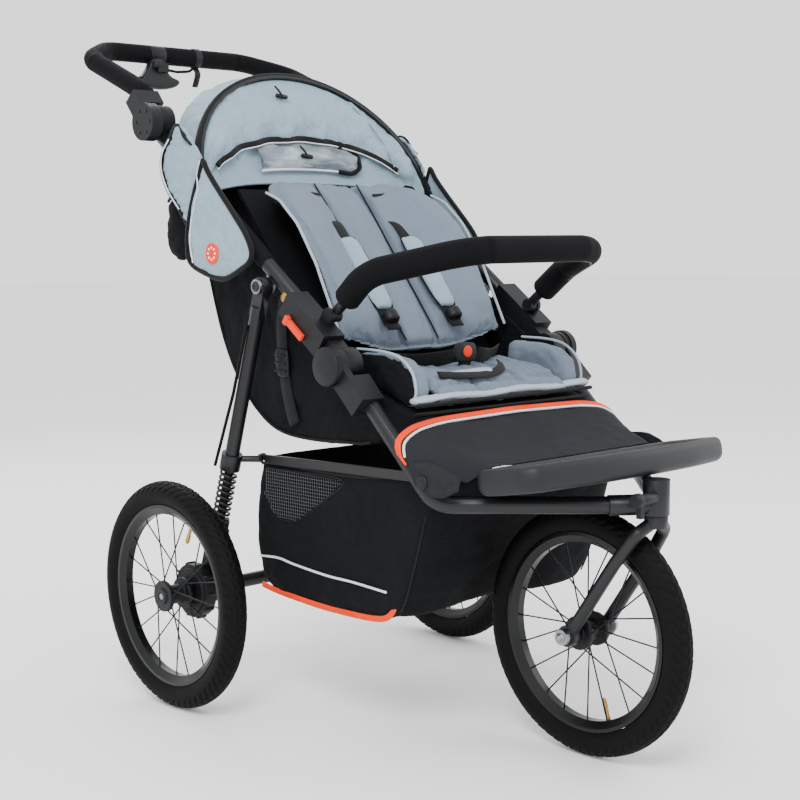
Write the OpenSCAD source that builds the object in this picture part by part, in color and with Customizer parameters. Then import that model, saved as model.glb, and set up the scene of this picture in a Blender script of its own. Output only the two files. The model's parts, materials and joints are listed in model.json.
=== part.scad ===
// Three-wheel jogging pushchair. Millimetres, +Z up. The child faces -Y and +X is the child's left.
// Y is measured from the front wheel's contact with the ground; move_back() then centres the part.

/* [Wheels] */
// Outer radius of every tyre
wheel_r = 177.5; // [170:0.5:180]
// Radius of the tyre's section
tyre_r = 20; // [18:0.5:21]
// Distance from the centre plane to each rear wheel's middle
rear_x = 298; // [294:1:302]
// Distance from the front axle back to the rear axle
wheelbase = 584; // [578:1:590]
// Number of spokes in a wheel
spoke_count = 20; // [12:2:28]

/* [Frame] */
// Distance from the centre plane to each side tube's axis
side_x = 213; // [211:0.5:215]
// Radius of the side tubes and of the handlebar tube
tube_r = 12; // [11:0.5:12.5]
// Distance from the centre plane to each rear leg's axis
leg_x = 233; // [232:0.5:235]
// Radius of the rear legs
leg_r = 11; // [10:0.5:12]
// Trail: how far the steering axis stands ahead of the front axle
trail = 118; // [110:1:125]

/* [Soft goods] */
// Half width of the seat pad between the bolsters
pad_half_w = 137; // [125:1:137]
// Thickness of the backrest pad
back_pad_t = 30; // [22:1:32]
// Thickness of a fabric panel
cloth_t = 4; // [3:0.5:5]
// Radius of the foam on the handlebar
grip_r = 16.5; // [15:0.5:18]
// Radius of the foam on the bumper bar
bumper_r = 19.5; // [17:0.5:20]

/* [Hidden] */
$fn = 48;
// running clearance round a pin
gap = 0.05;
// the ends of the part along Y put its middle here
mid_y = 412;

// main hinge, leg pivot, handle hub, bumper pivot, link pivots and canopy pivot, as [y, z]
hinge_p = [266, 548];
leg_p = [429, 656];
hub_p = [720, 912];
bumper_p = [299, 617];
stud_p = [96, 402];
collar_p = [484, 390];
canopy_p = [566, 800];
axle_p = [wheelbase, wheel_r];
pin_r = 7;
small_pin_r = 5;
leg_pin_r = 6;

// the upper side tube runs from frame_p in this direction, in degrees above +Y
frame_p = [293, 580];
frame_a = 36.4;
upper_len = 525;
// the backrest leans at this angle from its foot
back_p = [317, 555];
back_a = 49.8;
back_len = 352;
leg_len = norm(axle_p - leg_p);
leg_dir = (axle_p - leg_p) / leg_len;
leg_a = atan2(leg_dir[1], leg_dir[0]);
// inner rod and spring along the leg, measured from its pivot
rod_r = 7;
rod_top = 240;
bore_top = 205;
collar_top = 270;
collar_end = 296;
carrier_top = 384;

// rim, hub and spokes
rim_r = 141;
rim_in_r = 126;
rim_half_w = 13;
hub_half = 24;
stub_r = 6;
front_axle_r = 5;
spoke_r = 1.1;
spoke_cross = 38;

black = "#26272a";
foam_black = "#2d2d2f";
cloth_black = "#33353a";
liner_grey = "#a9aeba";
hood_blue = "#8d9fa8";
metal_grey = "#8b8d90";
signal_orange = "#e8613a";

// ---- helpers ----
function unit(v) = v / norm(v);
function on_leg(s) = leg_p + s * leg_dir;
function on_frame(along, up) = frame_p + along * [cos(frame_a), sin(frame_a)]
    + up * [-sin(frame_a), cos(frame_a)];
function arc(c, r, a0, a1, n = 8) = [for (i = [0:n]) c + r * [cos(a0 + (a1 - a0) * i / n),
    sin(a0 + (a1 - a0) * i / n)]];
function yz(x, p) = [x, p[0], p[1]];

// both sides of the centre plane
module both() {
    children();
    mirror([1, 0, 0]) children();
}

module move_back() translate([0, -mid_y, 0]) children();

// a straight round bar from a to b
module rod(a, b, r) {
    d = b - a;
    translate(a)
        rotate([0, acos(d[2] / norm(d)), atan2(d[1], d[0])])
            cylinder(r = r, h = norm(d));
}

// a round disc or pin along X, centred on the point p = [y, z]
module disc(p, r, x0, x1) {
    translate([x0, p[0], p[1]]) rotate([0, 90, 0]) cylinder(r = r, h = x1 - x0);
}

// an outline of [y, z] points, given thickness along X
module plate(points, x0, x1) {
    translate([x0, 0, 0]) rotate([90, 0, 90]) linear_extrude(x1 - x0) polygon(points);
}

// a bar with a rectangular side view that starts at p and points at angle a
module beam(p, a, from, to, low, high, x0, x1) {
    d = [cos(a), sin(a)];
    n = [-sin(a), cos(a)];
    plate([p + from * d + low * n, p + to * d + low * n, p + to * d + high * n, p + from * d + high * n],
        x0, x1);
}

// the centre line through the points, with round bends of the given radius
function bend_points(before, corner, after, bend, steps = 6) =
    let (u = unit(corner - before), v = unit(after - corner), turn = acos(u * v),
        cut = bend * tan(turn / 2), inward = unit(v - u), centre = corner + inward * bend / cos(turn / 2),
        start = corner - cut * u - centre)
    [for (i = [0:steps]) centre + cos(turn * i / steps) * start + sin(turn * i / steps) * bend * u];
function route(points, bend) = let (last = len(points) - 1)
    concat([points[0]],
        [for (i = [1:last - 1]) each bend_points(points[i - 1], points[i], points[i + 1], bend)],
        [points[last]]);
function mirrored(points) = concat(points, [for (i = [len(points) - 1:-1:0])
    [-points[i][0], points[i][1], points[i][2]]]);

// rings of points round a centre line; "level" is a direction that the line never follows
function rings(path, r, level, sides) = let (last = len(path) - 1)
    [for (i = [0:last])
        let (t = unit(path[min(i + 1, last)] - path[max(i - 1, 0)]),
            n = unit(cross(t, level)), m = cross(t, n))
        each [for (k = [0:sides - 1]) path[i] + r * (cos(360 * k / sides) * n + sin(360 * k / sides) * m)]];
function wall(rows, sides, from, flip) = [for (i = [0:rows - 2], k = [0:sides - 1])
    let (a = from + i * sides + k, b = from + i * sides + (k + 1) % sides)
    flip ? [a, b, b + sides, a + sides] : [a, a + sides, b + sides, b]];

// a solid bar along the centre line
module tube(path, r, level, sides = 24) {
    rows = len(path);
    polyhedron(points = rings(path, r, level, sides), faces = concat(wall(rows, sides, 0, false),
        [[for (k = [0:sides - 1]) k], [for (k = [sides - 1:-1:0]) (rows - 1) * sides + k]]));
}

// a hollow sleeve along the centre line
module sleeve(path, r, r_in, level, sides = 24) {
    rows = len(path);
    size = rows * sides;
    end = size - sides;
    polyhedron(points = concat(rings(path, r, level, sides), rings(path, r_in, level, sides)),
        faces = concat(wall(rows, sides, 0, false), wall(rows, sides, size, true),
            [for (k = [0:sides - 1]) let (j = (k + 1) % sides) [j, size + j, size + k, k]],
            [for (k = [0:sides - 1]) let (j = (k + 1) % sides)
                [size + end + k, size + end + j, end + j, end + k]]));
}
// half a ring: the shape of a canopy bow or band, w wide and h high, from in_t inside its outline
module half_ring(w, h, in_t, depth, n = 24) {
    outer = [for (i = [0:n]) [w * cos(180 * i / n), h * sin(180 * i / n)]];
    inner = [for (i = [n:-1:0]) [(w - in_t) * cos(180 * i / n), (h - in_t) * sin(180 * i / n)]];
    translate([0, 0, -depth / 2]) linear_extrude(depth) polygon(concat(outer, inner));
}

// ---- chassis ----
lower_a = 180 + atan2(hinge_p[1] - 372, hinge_p[0] - 84);
module side_tubes() {
    start = hinge_p + 36 * [cos(lower_a), sin(lower_a)];
    color(black) move_back() both()
        tube(route([yz(side_x, start), [side_x, 84, 372], [26, -101, 372]], 40), tube_r, [0, 0, 1]);
}

head_r = 18;
steerer_r = 10;
head_z0 = 358;
head_z1 = 406;
module head_casting() {
    color(black) move_back() difference() {
        union() {
            translate([0, -trail, head_z0]) cylinder(r = head_r, h = head_z1 - head_z0);
            both() rod([8, -113, 372], [52, -79, 372], 14);
        }
        translate([0, -trail, head_z0 - 1])
            cylinder(r = steerer_r + gap, h = head_z1 - head_z0 - 5);
    }
}

module hinge_bases() {
    color(black) move_back() both() {
        disc(hinge_p, pin_r, 199, 232);
        disc(hinge_p, 26, 228.5, 240);
        disc(hinge_p, 28, 239, 249);
        beam(hinge_p, lower_a, 0, 78, -17, 17, 228.5, 240);
        beam(hinge_p, lower_a, 33, 78, -17, 17, 200, 236);
    }
}

// the footrest slopes up to the front
rest_p = [-53, 399];
rest_slope = 10;
rest_half_w = 208;
rest_t = 38;
module footrest_outline(inset = 0) {
    w = rest_half_w - inset;
    front = -67 + inset;
    polygon(concat(arc([w - 24, 50 - inset], 24, 0, 70, 4), arc([-w + 24, 50 - inset], 24, 110, 180, 4),
        arc([-w + 38, front + 61], 38, 180, 235, 4), [for (x = [-8:1:8]) [x * 16, front + 0.22 * x * x]],
        arc([w - 38, front + 61], 38, -55, 0, 4)));
}
module footrest() {
    color(black) move_back()
        translate([0, rest_p[0], rest_p[1]]) rotate([-rest_slope, 0, 0]) difference() {
            linear_extrude(rest_t) footrest_outline();
            translate([0, 0, rest_t - 7]) linear_extrude(10) footrest_outline(14);
        }
}

seat_front_y = 150;
module seat_base() {
    color(cloth_black) move_back()
        plate([[seat_front_y + 3, 447], [283, 452], [289, 500], [283, 522], [170, 485], [seat_front_y, 485]],
            -182, 182);
}

module seat_pad() {
    color(liner_grey) move_back() union() {
        plate([[151, 486], [170, 486], [292, 525], [306, 543], [240, 538], [180, 520], [162, 507], [153, 503]],
            -pad_half_w, pad_half_w);
        plate([[151, 486], [166, 486], [166, 508], [160, 507], [153, 503]], -180, 180);
    }
}

module seat_bolsters() {
    color(liner_grey) move_back() both()
        plate([[167, 487], [171, 487], [285, 523], [292, 545], [288, 566], [232, 566], [205, 558], [182, 540],
            [169, 516]], pad_half_w + 1, 174);
}

// a sheet from the seat's front edge down to the footrest, with side skirts
module leg_apron() {
    top = [[153, 444], [100, 436], [60, 427], [28, 418]];
    low = [for (i = [3:-1:0]) top[i] - [0, cloth_t]];
    color(cloth_black) move_back() union() {
        plate(concat(top, low), -190, 190);
        both() plate([[153, 441], [100, 433], [60, 424], [28, 415], [40, 398], [90, 396], [118, 420]],
            190 - cloth_t, 190);
    }
}

basket_side = [[86, 393], [133, 309], [164, 227], [178, 192], [190, 185], [259, 180], [374, 183],
    [500, 188], [510, 196], [484, 393]];
basket_inner = [[94, 394], [138, 311], [169, 229], [184, 196], [260, 184.5], [374, 187.5],
    [498, 192.5], [504, 200], [478, 394]];
// room for the front wheel, which swings round the steering axis
module wheel_room(extra) {
    translate([0, -trail, 170]) cylinder(r1 = 322 + extra, r2 = 240 + extra, h = 195);
}
module basket() {
    color(cloth_black) move_back() difference() {
        plate(basket_side, -190, 190);
        wheel_room(0);
        difference() {
            plate(basket_inner, -186, 186);
            wheel_room(cloth_t);
        }
    }
}

// the harness buckle on its strap, standing on the seat
module crotch_buckle() {
    color(black) move_back() {
        translate([-24, 236, 540]) cube([48, 11, 32]);
        translate([-14, 239, 531]) cube([28, 5, 12]);
    }
}

module link_studs() {
    color(metal_grey) move_back() both() {
        disc(stud_p, small_pin_r, 190.4, 210);
        disc(stud_p, 11, 197.2, 222);
        disc(stud_p, 8, 190.4, 191.8);
    }
}

// ---- upper frame ----
module upper_tubes() {
    color(black) move_back() both()
        rod(yz(side_x, on_frame(8, 0)), yz(side_x, on_frame(upper_len, 0)), tube_r);
}

module upper_crossbar() {
    color(black) move_back()
        rod(yz(-207, on_frame(509, -12)), yz(207, on_frame(509, -12)), 9);
}

module hinge_arms() {
    color(black) move_back() both() difference() {
        union() {
            disc(hinge_p, 25, 200.5, 228);
            beam(frame_p, frame_a, -40, 2, -26, 6, 200.5, 228);
            beam(frame_p, frame_a, -4, 98, -24, 14, 200.5, 238);
            beam(frame_p, frame_a, 17, 37, 8, 26, 212, 219);
            disc(bumper_p, 11, 212, 219);
            disc(bumper_p, small_pin_r, 198, 213);
        }
        disc(hinge_p, pin_r + gap, 190, 229);
    }
}

hub_r = 30;
module handle_hub_shells() {
    color(black) move_back() both() {
        disc(hub_p, hub_r - 3, 200.5, 225.5);
        disc(hub_p, leg_pin_r, 225, 242);
    }
}

module leg_pivots() {
    color(metal_grey) move_back() both() {
        beam(frame_p, frame_a, 141, 168, -20, 0, 206, 221);
        disc(leg_p, 13, 206, 225);
        disc(leg_p, leg_pin_r, 220, 246);
        disc(leg_p, 11, 241, 246);
    }
}

// the fabric tub that hangs between the side tubes behind the seat
sling_side = concat([on_frame(8, -4)], [[292, 434], [364, 430], [430, 433], [473, 443], [535, 492],
    [590, 570], [625, 669], [652, 740]], [on_frame(470, -4)]);
sling_inner = [[280, 700], [280, 438], [364, 434], [430, 437], [471, 447], [532, 495],
    [586, 572], [621, 670], [648, 742], [655, 900]];
module sling_wall() {
    difference() {
        plate(sling_side, -190, 190);
        plate(sling_inner, -186, 186);
    }
}
module seat_sling() {
    color(cloth_black) move_back() sling_wall();
}

// the fixed rear part of the canopy, gathered between the side tubes
rear_p = [664, 852];
rear_a = 57;
module canopy_rear() {
    color(hood_blue) move_back() difference() {
        translate(yz(0, rear_p)) rotate([rear_a, 0, 0]) translate([0, 0, 9]) half_ring(198, 178, 9, 46);
        rod(yz(-240, hub_p), yz(240, hub_p), 34);
    }
}

// the canopy's side panels, outside the tubes
module canopy_sides() {
    color(hood_blue) move_back() both()
        plate([[453, 705], [465, 690], [540, 668], [618, 690], [643, 775], [676, 818], [672, 862], [634, 893],
            [594, 853], [561, 808], [506, 760]], 237, 237 + cloth_t);
}

// ---- handle ----
arm_a = 50;
bar_y = 985;
bar_z = 1055;
bar_half = 146;
bar_level = [0, -0.42, 0.9];
arm_points = [yz(side_x, hub_p + 34 * [cos(arm_a), sin(arm_a)]), [side_x, 774, 967],
    [side_x, 925, 1030], [bar_half, bar_y, bar_z]];
// the foam starts here on each arm, and leaves room for the clamp
grip_start = [side_x, 872, 1008.2];
clamp_x = -46;
clamp_half = 17;
module handle_tube() {
    color(black) move_back() tube(route(mirrored(arm_points), 55), tube_r, bar_level);
}

module grip_part(x_sign, x_end) {
    part = route([grip_start, arm_points[2], arm_points[3], [x_end, bar_y, bar_z]], 55);
    sleeve([for (p = part) [x_sign * p[0], p[1], p[2]]], grip_r, tube_r, bar_level);
}
module handle_grip() {
    color(foam_black) move_back() {
        grip_part(1, clamp_x + clamp_half);
        grip_part(-1, -clamp_x + clamp_half);
    }
}

module handle_hubs() {
    color(black) move_back() both() difference() {
        union() {
            disc(hub_p, hub_r, 226, 246);
            beam(hub_p, arm_a, 29.5, 56, -15, 15, 199, 246);
            beam(hub_p, arm_a, 10, 34, -15, 15, 226, 246);
        }
        disc(hub_p, leg_pin_r + gap, 220, 243);
    }
}

// the lever turns on a pin that stands below the bar
lever_p = [962, 1030];
module brake_clamp() {
    color(black) move_back() difference() {
        union() {
            rod([clamp_x - 16, bar_y, bar_z], [clamp_x + 16, bar_y, bar_z], 16.5);
            translate([clamp_x - 11, lever_p[0] - 6, lever_p[1] - 7]) cube([22, 26, 16]);
            translate([clamp_x - 11, lever_p[0], lever_p[1]]) cylinder(r = 8, h = 10);
        }
        rod([clamp_x - 20, bar_y, bar_z], [clamp_x + 20, bar_y, bar_z], tube_r);
    }
}

// a thin cable from the lever to where it enters the bar
module brake_cable() {
    points = [[clamp_x + 8, 962, 1028], [clamp_x + 36, 968, 1026], [clamp_x + 70, 976, 1030],
        [clamp_x + 92, 985, 1046]];
    color(black) move_back() tube(route(points, 30), 2.5, [0, 1, 0], 8);
}

module brake_lever() {
    color(black) move_back() difference() {
        union() {
            translate([clamp_x - 11, lever_p[0] - 1, lever_p[1] - 21]) cylinder(r = 8, h = 13);
            translate([clamp_x - 11, lever_p[0] - 1, lever_p[1] - 21]) linear_extrude(11)
                polygon([[-38, 5], [-44, 9], [-50, 5], [-46, -3], [-4, -8], [30, -8], [56, 2], [58, 8], [50, 10],
                    [26, 3], [6, 8], [-6, 8]]);
        }
        translate([clamp_x - 11, lever_p[0] - 1, lever_p[1] - 30]) cylinder(r = 3, h = 12);
    }
}

// ---- frame catches ----
module catch_piece() {
    beam(frame_p, frame_a, 30, 76, -22, -12, 238.5, 244);
    beam(frame_p, frame_a, 68, 76, -24, -10, 238.5, 246);
}
module catch_left() {
    color(signal_orange) move_back() catch_piece();
}
module catch_right() {
    color(signal_orange) move_back() mirror([1, 0, 0]) catch_piece();
}

// ---- backrest ----
module backrest_board() {
    color(cloth_black) move_back() intersection() {
        beam(back_p, back_a, 16, back_len, -back_pad_t - 9, -back_pad_t - 3, -170, 170);
        translate([-400, 0, 0]) cube([800, 1000, 1000]);
    }
}

module backrest_pad() {
    d = [cos(back_a), sin(back_a)];
    n = [-sin(back_a), cos(back_a)];
    color(liner_grey) move_back()
        plate([back_p + 2 * d, back_p + 30 * d + 2 * n, back_p + back_len * d, back_p + (back_len + 8) * d - 14 * n,
            back_p + (back_len - 2) * d - (back_pad_t + 2) * n, back_p + 16 * d - (back_pad_t + 2) * n],
            -137, 137);
}

module backrest_wings() {
    color(liner_grey) move_back() both()
        plate([[322, 560], [328, 600], [346, 640], [367, 694], [408, 757], [455, 792], [520, 812], [551, 808],
            [545, 780], [500, 724], [440, 655], [385, 592], [352, 556]], 138, 172);
}

module shoulder_straps() {
    color(black) move_back() both()
        beam(back_p, back_a, 120, 300, 2.4, 9, 46, 84);
}

// ---- canopy ----
canopy_a = 62;
canopy_h = 218;
module canopy_bow() {
    color(black) move_back() {
        translate(yz(0, canopy_p)) rotate([canopy_a, 0, 0]) half_ring(235, canopy_h, 5, 14);
        both() disc(canopy_p, 9, 229, 235);
    }
}

module canopy_hood() {
    color(hood_blue) move_back() difference() {
        translate(yz(0, canopy_p)) rotate([canopy_a, 0, 0]) translate([0, 0, 6])
            half_ring(228.5, canopy_h - 5.5, 9, 52);
        translate([-300, canopy_p[0] - 100, canopy_p[1] - 60]) cube([600, 400, 90]);
    }
}

// ---- bumper bar ----
bumper_level = [0, 0.4, 0.9];
bumper_bends = [[207, 226, 677], [128, 99, 709]];
module bumper_tube() {
    color(black) move_back()
        tube(route(mirrored(concat([[205, 284, 629.5]], bumper_bends)), 75), 7, bumper_level, 16);
}

module bumper_foam() {
    color(foam_black) move_back()
        sleeve(route(mirrored(concat([[205, 269, 642]], bumper_bends)), 75), bumper_r, 7, bumper_level);
}

module bumper_connectors() {
    color(black) move_back() both() difference() {
        union() {
            disc(bumper_p, 10, 197.2, 211.4);
            rod(yz(204, bumper_p + [-4, 5]), [204, 274, 638], 7.6);
        }
        disc(bumper_p, small_pin_r + gap, 196, 220);
    }
}

// ---- rear legs ----
module rear_legs() {
    color(black) move_back() both() difference() {
        union() {
            disc(leg_p, 14, 225.5, 240.5);
            beam(leg_p, leg_a, 0, 48, -12, 12, 226.5, 239.5);
            rod(yz(leg_x, on_leg(32)), yz(leg_x, on_leg(collar_top + 4)), leg_r);
            rod(yz(leg_x, on_leg(collar_top)), yz(leg_x, on_leg(collar_end)), 16);
            rod([200, collar_p[0] + 2, collar_p[1]], [leg_x - 10, collar_p[0] + 26, collar_p[1]], small_pin_r);
        }
        disc(leg_p, leg_pin_r + gap, 220, 245);
        rod(yz(leg_x, on_leg(bore_top)), yz(leg_x, on_leg(collar_end + 2)), rod_r + gap);
    }
}

// the brake cable clipped to the leg that it runs down
module leg_cable() {
    points = [yz(-246, on_leg(60) + [4, 0]), yz(-247, on_leg(170) + [6, 0]), yz(-251, on_leg(292) + [14, 2])];
    color(black) move_back() tube(route(points, 60), 2.5, [1, 0, 0], 8);
}

module side_links() {
    d = collar_p - stud_p;
    a = atan2(d[1], d[0]);
    color(black) move_back() both() difference() {
        union() {
            beam(stud_p, a, 0, norm(d), -7, 7, 192.4, 196.4);
            disc(stud_p, 10, 192.4, 196.4);
            disc(collar_p, 9, 192.4, 196.4);
        }
        disc(stud_p, small_pin_r + gap, 190, 200);
        disc(collar_p, small_pin_r + gap, 190, 200);
    }
}

// ---- rear axle ----
module axle_carriers() {
    color(black) move_back() both() {
        rod(yz(leg_x, on_leg(rod_top)), yz(leg_x, on_leg(carrier_top + 10)), rod_r);
        rod(yz(leg_x, on_leg(carrier_top)), yz(leg_x, on_leg(carrier_top + 16)), 15);
        beam(leg_p, leg_a, carrier_top + 10, leg_len, -17, 17, 225, 241);
        disc(axle_p, 24, 225, 241);
        disc(axle_p, stub_r, 236, rear_x + hub_half - 1);
    }
}

module axle_tube() {
    color(black) move_back() disc(axle_p, 11, -226, 226);
}

module springs() {
    n = 6;
    pitch = (carrier_top - collar_end - 3) / n;
    profile = concat([for (i = [0:n - 1], k = [0:3]) [k % 2 == 0 ? 12 : 14.5, i * pitch + k * pitch / 4]],
        [[12, n * pitch], [9, n * pitch], [9, 0]]);
    color(black) move_back() both()
        translate(yz(leg_x, on_leg(collar_end + 1.5))) rotate([leg_a - 90, 0, 0])
            rotate_extrude() polygon(profile);
}

module brake_drums() {
    color(black) move_back() both() difference() {
        union() {
            disc(axle_p, 42, 246, 266);
            disc(axle_p, 36, 241, 270);
        }
        disc(axle_p, stub_r, 240, 275);
    }
}

// ---- wheels: drawn round X at the origin, then moved ----
module wheel_at(x, p) {
    move_back() translate([x, p[0], p[1]]) rotate([0, 90, 0]) children();
}
module tyre() {
    rotate_extrude($fn = 96) intersection() {
        translate([wheel_r - tyre_r, 0]) circle(r = tyre_r);
        translate([rim_r, -tyre_r]) square([3 * tyre_r, 2 * tyre_r]);
    }
}
module rim() {
    rotate_extrude($fn = 96) polygon([[rim_r, -rim_half_w], [rim_r, rim_half_w], [rim_r - 5, rim_half_w],
        [rim_in_r, 6], [rim_in_r, -6], [rim_r - 5, -rim_half_w]]);
}
module spokes() {
    for (i = [0:spoke_count - 1]) {
        a = i * 360 / spoke_count;
        side = i % 2 == 0 ? 1 : -1;
        turn = i % 4 < 2 ? 1 : -1;
        rod([19 * cos(a + turn * spoke_cross), 19 * sin(a + turn * spoke_cross), side * (17 + 2 * turn)],
            [(rim_in_r + 3) * cos(a), (rim_in_r + 3) * sin(a), side * 2], spoke_r);
    }
}
module hub(bore_r) {
    rotate_extrude() polygon([[bore_r, -hub_half], [13, -hub_half], [13, -21], [24, -21], [24, -14], [15, -12],
        [15, 12], [24, 14], [24, 21], [13, 21], [13, hub_half], [bore_r, hub_half]]);
}
module tyre_left() {
    color(black) wheel_at(rear_x, axle_p) tyre();
}
module rim_left() {
    color(black) wheel_at(rear_x, axle_p) rim();
}
module spokes_left() {
    color(black) wheel_at(rear_x, axle_p) spokes();
}
module hub_left() {
    color(black) wheel_at(rear_x, axle_p) hub(stub_r + gap);
}
module tyre_right() {
    color(black) wheel_at(-rear_x, axle_p) tyre();
}
module rim_right() {
    color(black) wheel_at(-rear_x, axle_p) rim();
}
module spokes_right() {
    color(black) wheel_at(-rear_x, axle_p) spokes();
}
module hub_right() {
    color(black) wheel_at(-rear_x, axle_p) hub(stub_r + gap);
}
module tyre_front() {
    color(black) wheel_at(0, [0, wheel_r]) tyre();
}
module rim_front() {
    color(black) wheel_at(0, [0, wheel_r]) rim();
}
module spokes_front() {
    color(black) wheel_at(0, [0, wheel_r]) spokes();
}
module hub_front() {
    color(black) wheel_at(0, [0, wheel_r]) hub(front_axle_r + gap);
}

// ---- fork ----
blade_x = 38;
module fork() {
    color(black) move_back() difference() {
        union() {
            translate([0, -trail, 345]) cylinder(r = steerer_r, h = head_z1 - 12 - 345);
            translate([0, -trail, 341]) cylinder(r = 16, h = 16);
            both() {
                tube(route([[4, -trail + 2, 348], [30, -110, 335], [blade_x, -80, 292], [blade_x, -6, 186]], 18),
                    9, [0, 1, 0]);
                disc([0, wheel_r], 15, blade_x - 7, blade_x + 7);
            }
        }
        disc([0, wheel_r], front_axle_r, -60, 60);
    }
}

module front_axle() {
    color(metal_grey) move_back() {
        disc([0, wheel_r], front_axle_r, -52, 52);
        disc([0, wheel_r], 11, -56, -45.2);
        disc([0, wheel_r], 11, 45.2, 54);
    }
}

// a plunger on the head casting, with a small lever
lock_p = [-trail - 10, 384];
module swivel_lock() {
    color(black) move_back() {
        rod([-head_r - 0.8, lock_p[0], lock_p[1]], [-50, lock_p[0], lock_p[1]], 8);
        translate([-50, lock_p[0] - 4, lock_p[1] - 24]) cube([8, 8, 24]);
    }
}

side_tubes();
head_casting();
hinge_bases();
footrest();
seat_base();
seat_pad();
seat_bolsters();
leg_apron();
basket();
crotch_buckle();
link_studs();
upper_tubes();
upper_crossbar();
hinge_arms();
handle_hub_shells();
leg_pivots();
seat_sling();
canopy_rear();
canopy_sides();
handle_tube();
handle_grip();
handle_hubs();
brake_clamp();
brake_cable();
brake_lever();
catch_left();
catch_right();
backrest_board();
backrest_pad();
backrest_wings();
shoulder_straps();
canopy_bow();
canopy_hood();
bumper_tube();
bumper_foam();
bumper_connectors();
rear_legs();
leg_cable();
side_links();
axle_carriers();
axle_tube();
springs();
brake_drums();
tyre_left();
rim_left();
spokes_left();
hub_left();
tyre_right();
rim_right();
spokes_right();
hub_right();
tyre_front();
rim_front();
spokes_front();
hub_front();
fork();
front_axle();
swivel_lock();
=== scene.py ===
"""The looks of the three-wheel pushchair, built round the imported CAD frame.

Lengths are in millimetres. X is the child's left, Y runs back from the front wheel's contact with the ground.
"""

import json
from math import atan2, copysign, cos, pi, radians, sin, sqrt, tan, tau

import bpy
import numpy as np
from mathutils import Matrix, Vector, noise


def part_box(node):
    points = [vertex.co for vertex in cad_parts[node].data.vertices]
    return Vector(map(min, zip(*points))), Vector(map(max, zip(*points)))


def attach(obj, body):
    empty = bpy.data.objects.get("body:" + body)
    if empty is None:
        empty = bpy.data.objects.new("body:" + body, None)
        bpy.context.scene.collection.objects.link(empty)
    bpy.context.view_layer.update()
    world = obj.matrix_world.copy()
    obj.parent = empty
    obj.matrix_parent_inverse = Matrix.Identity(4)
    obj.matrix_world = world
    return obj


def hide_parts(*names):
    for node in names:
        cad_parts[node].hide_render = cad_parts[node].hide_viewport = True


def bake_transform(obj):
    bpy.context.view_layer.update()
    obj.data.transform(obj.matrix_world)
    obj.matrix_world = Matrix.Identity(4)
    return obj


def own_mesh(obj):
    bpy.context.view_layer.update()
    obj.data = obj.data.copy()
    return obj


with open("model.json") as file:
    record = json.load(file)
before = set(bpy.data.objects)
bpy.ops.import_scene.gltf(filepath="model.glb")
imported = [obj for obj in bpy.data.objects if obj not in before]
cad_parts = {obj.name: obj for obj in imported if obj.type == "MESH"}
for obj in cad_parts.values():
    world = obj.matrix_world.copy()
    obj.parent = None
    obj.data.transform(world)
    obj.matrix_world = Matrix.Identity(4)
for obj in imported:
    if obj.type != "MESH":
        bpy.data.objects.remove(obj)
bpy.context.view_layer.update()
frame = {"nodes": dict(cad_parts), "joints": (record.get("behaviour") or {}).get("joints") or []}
nodes = frame["nodes"]

MM = 0.001
SIDES = (("left", 1), ("right", -1))
low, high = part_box("tyre_front")
FRONT_Y = (low.y + high.y) / 2
WHEEL_R = (high.z - low.z) / 2 / MM
low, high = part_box("tyre_left")
AXLE = ((low.y + high.y) / 2 / MM - FRONT_Y / MM, (low.z + high.z) / 2 / MM)
REAR_X = (low.x + high.x) / 2 / MM
joints = {joint["name"]: joint for joint in frame["joints"]}


def joint_yz(name):
    """The (y, z) of a joint's axis, in millimetres from the front wheel."""
    place = joints[name]["pos_m"]
    return (place[1] - FRONT_Y) / MM, place[2] / MM


HINGE = joint_yz("fold")
LEG_PIVOT = joint_yz("leg_fold")
CANOPY = joint_yz("canopy_open")
TUBE_X = 213
TUBE_R = 12
LEG_X = 233
TUBE_FOOT = (293, 580)
TUBE_ANGLE = radians(36.4)
BACK_FOOT = (317, 555)
BACK_ANGLE = radians(49.8)
BACK_LENGTH = 352
REST = (-53, 399)
REST_SLOPE = radians(-10)
HANDLE_BAR = (985, 1055)
HANDLE_HUB = (720, 912)
REST_STUD = (96, 402)
LOCK = (-128, 384)
FORK_SIDE = 53


def at(x, y, z):
    """A point of the drawing in the row frame, in metres."""
    return Vector((x * MM, y * MM + FRONT_Y, z * MM))


def along(foot, angle, distance, up=0.0):
    """The (y, z) point at a distance from foot along a slanted line, and up from it."""
    return (foot[0] + distance * cos(angle) - up * sin(angle),
            foot[1] + distance * sin(angle) + up * cos(angle))


def on_tube(distance, up=0.0):
    return along(TUBE_FOOT, TUBE_ANGLE, distance, up)


def on_back(distance, up=0.0):
    return along(BACK_FOOT, BACK_ANGLE, distance, up)


def on_leg(distance, out=0.0):
    angle = atan2(AXLE[1] - LEG_PIVOT[1], AXLE[0] - LEG_PIVOT[0])
    return along(LEG_PIVOT, angle, distance, out)


# ---- camera, light and floor ----
CAMERA_PLACE = (-1.5703, -1.7469, 0.7285)
CAMERA_AHEAD = (0.67008, 0.73422, -0.10913)
CAMERA_ROLL = radians(-0.38)
LENS, SENSOR = 67.22, 36


def make_camera():
    forward = Vector(CAMERA_AHEAD).normalized()
    right = forward.cross(Vector((0, 0, 1))).normalized()
    up = right.cross(forward)
    side = cos(CAMERA_ROLL) * right + sin(CAMERA_ROLL) * up
    top = -sin(CAMERA_ROLL) * right + cos(CAMERA_ROLL) * up
    matrix = Matrix((side, top, -forward)).transposed().to_4x4()
    matrix.translation = Vector(CAMERA_PLACE)
    data = bpy.data.cameras.new("camera")
    data.lens = LENS
    data.sensor_width = SENSOR
    camera = bpy.data.objects.new("camera", data)
    camera.matrix_world = matrix
    bpy.context.scene.collection.objects.link(camera)
    bpy.context.scene.camera = camera


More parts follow.
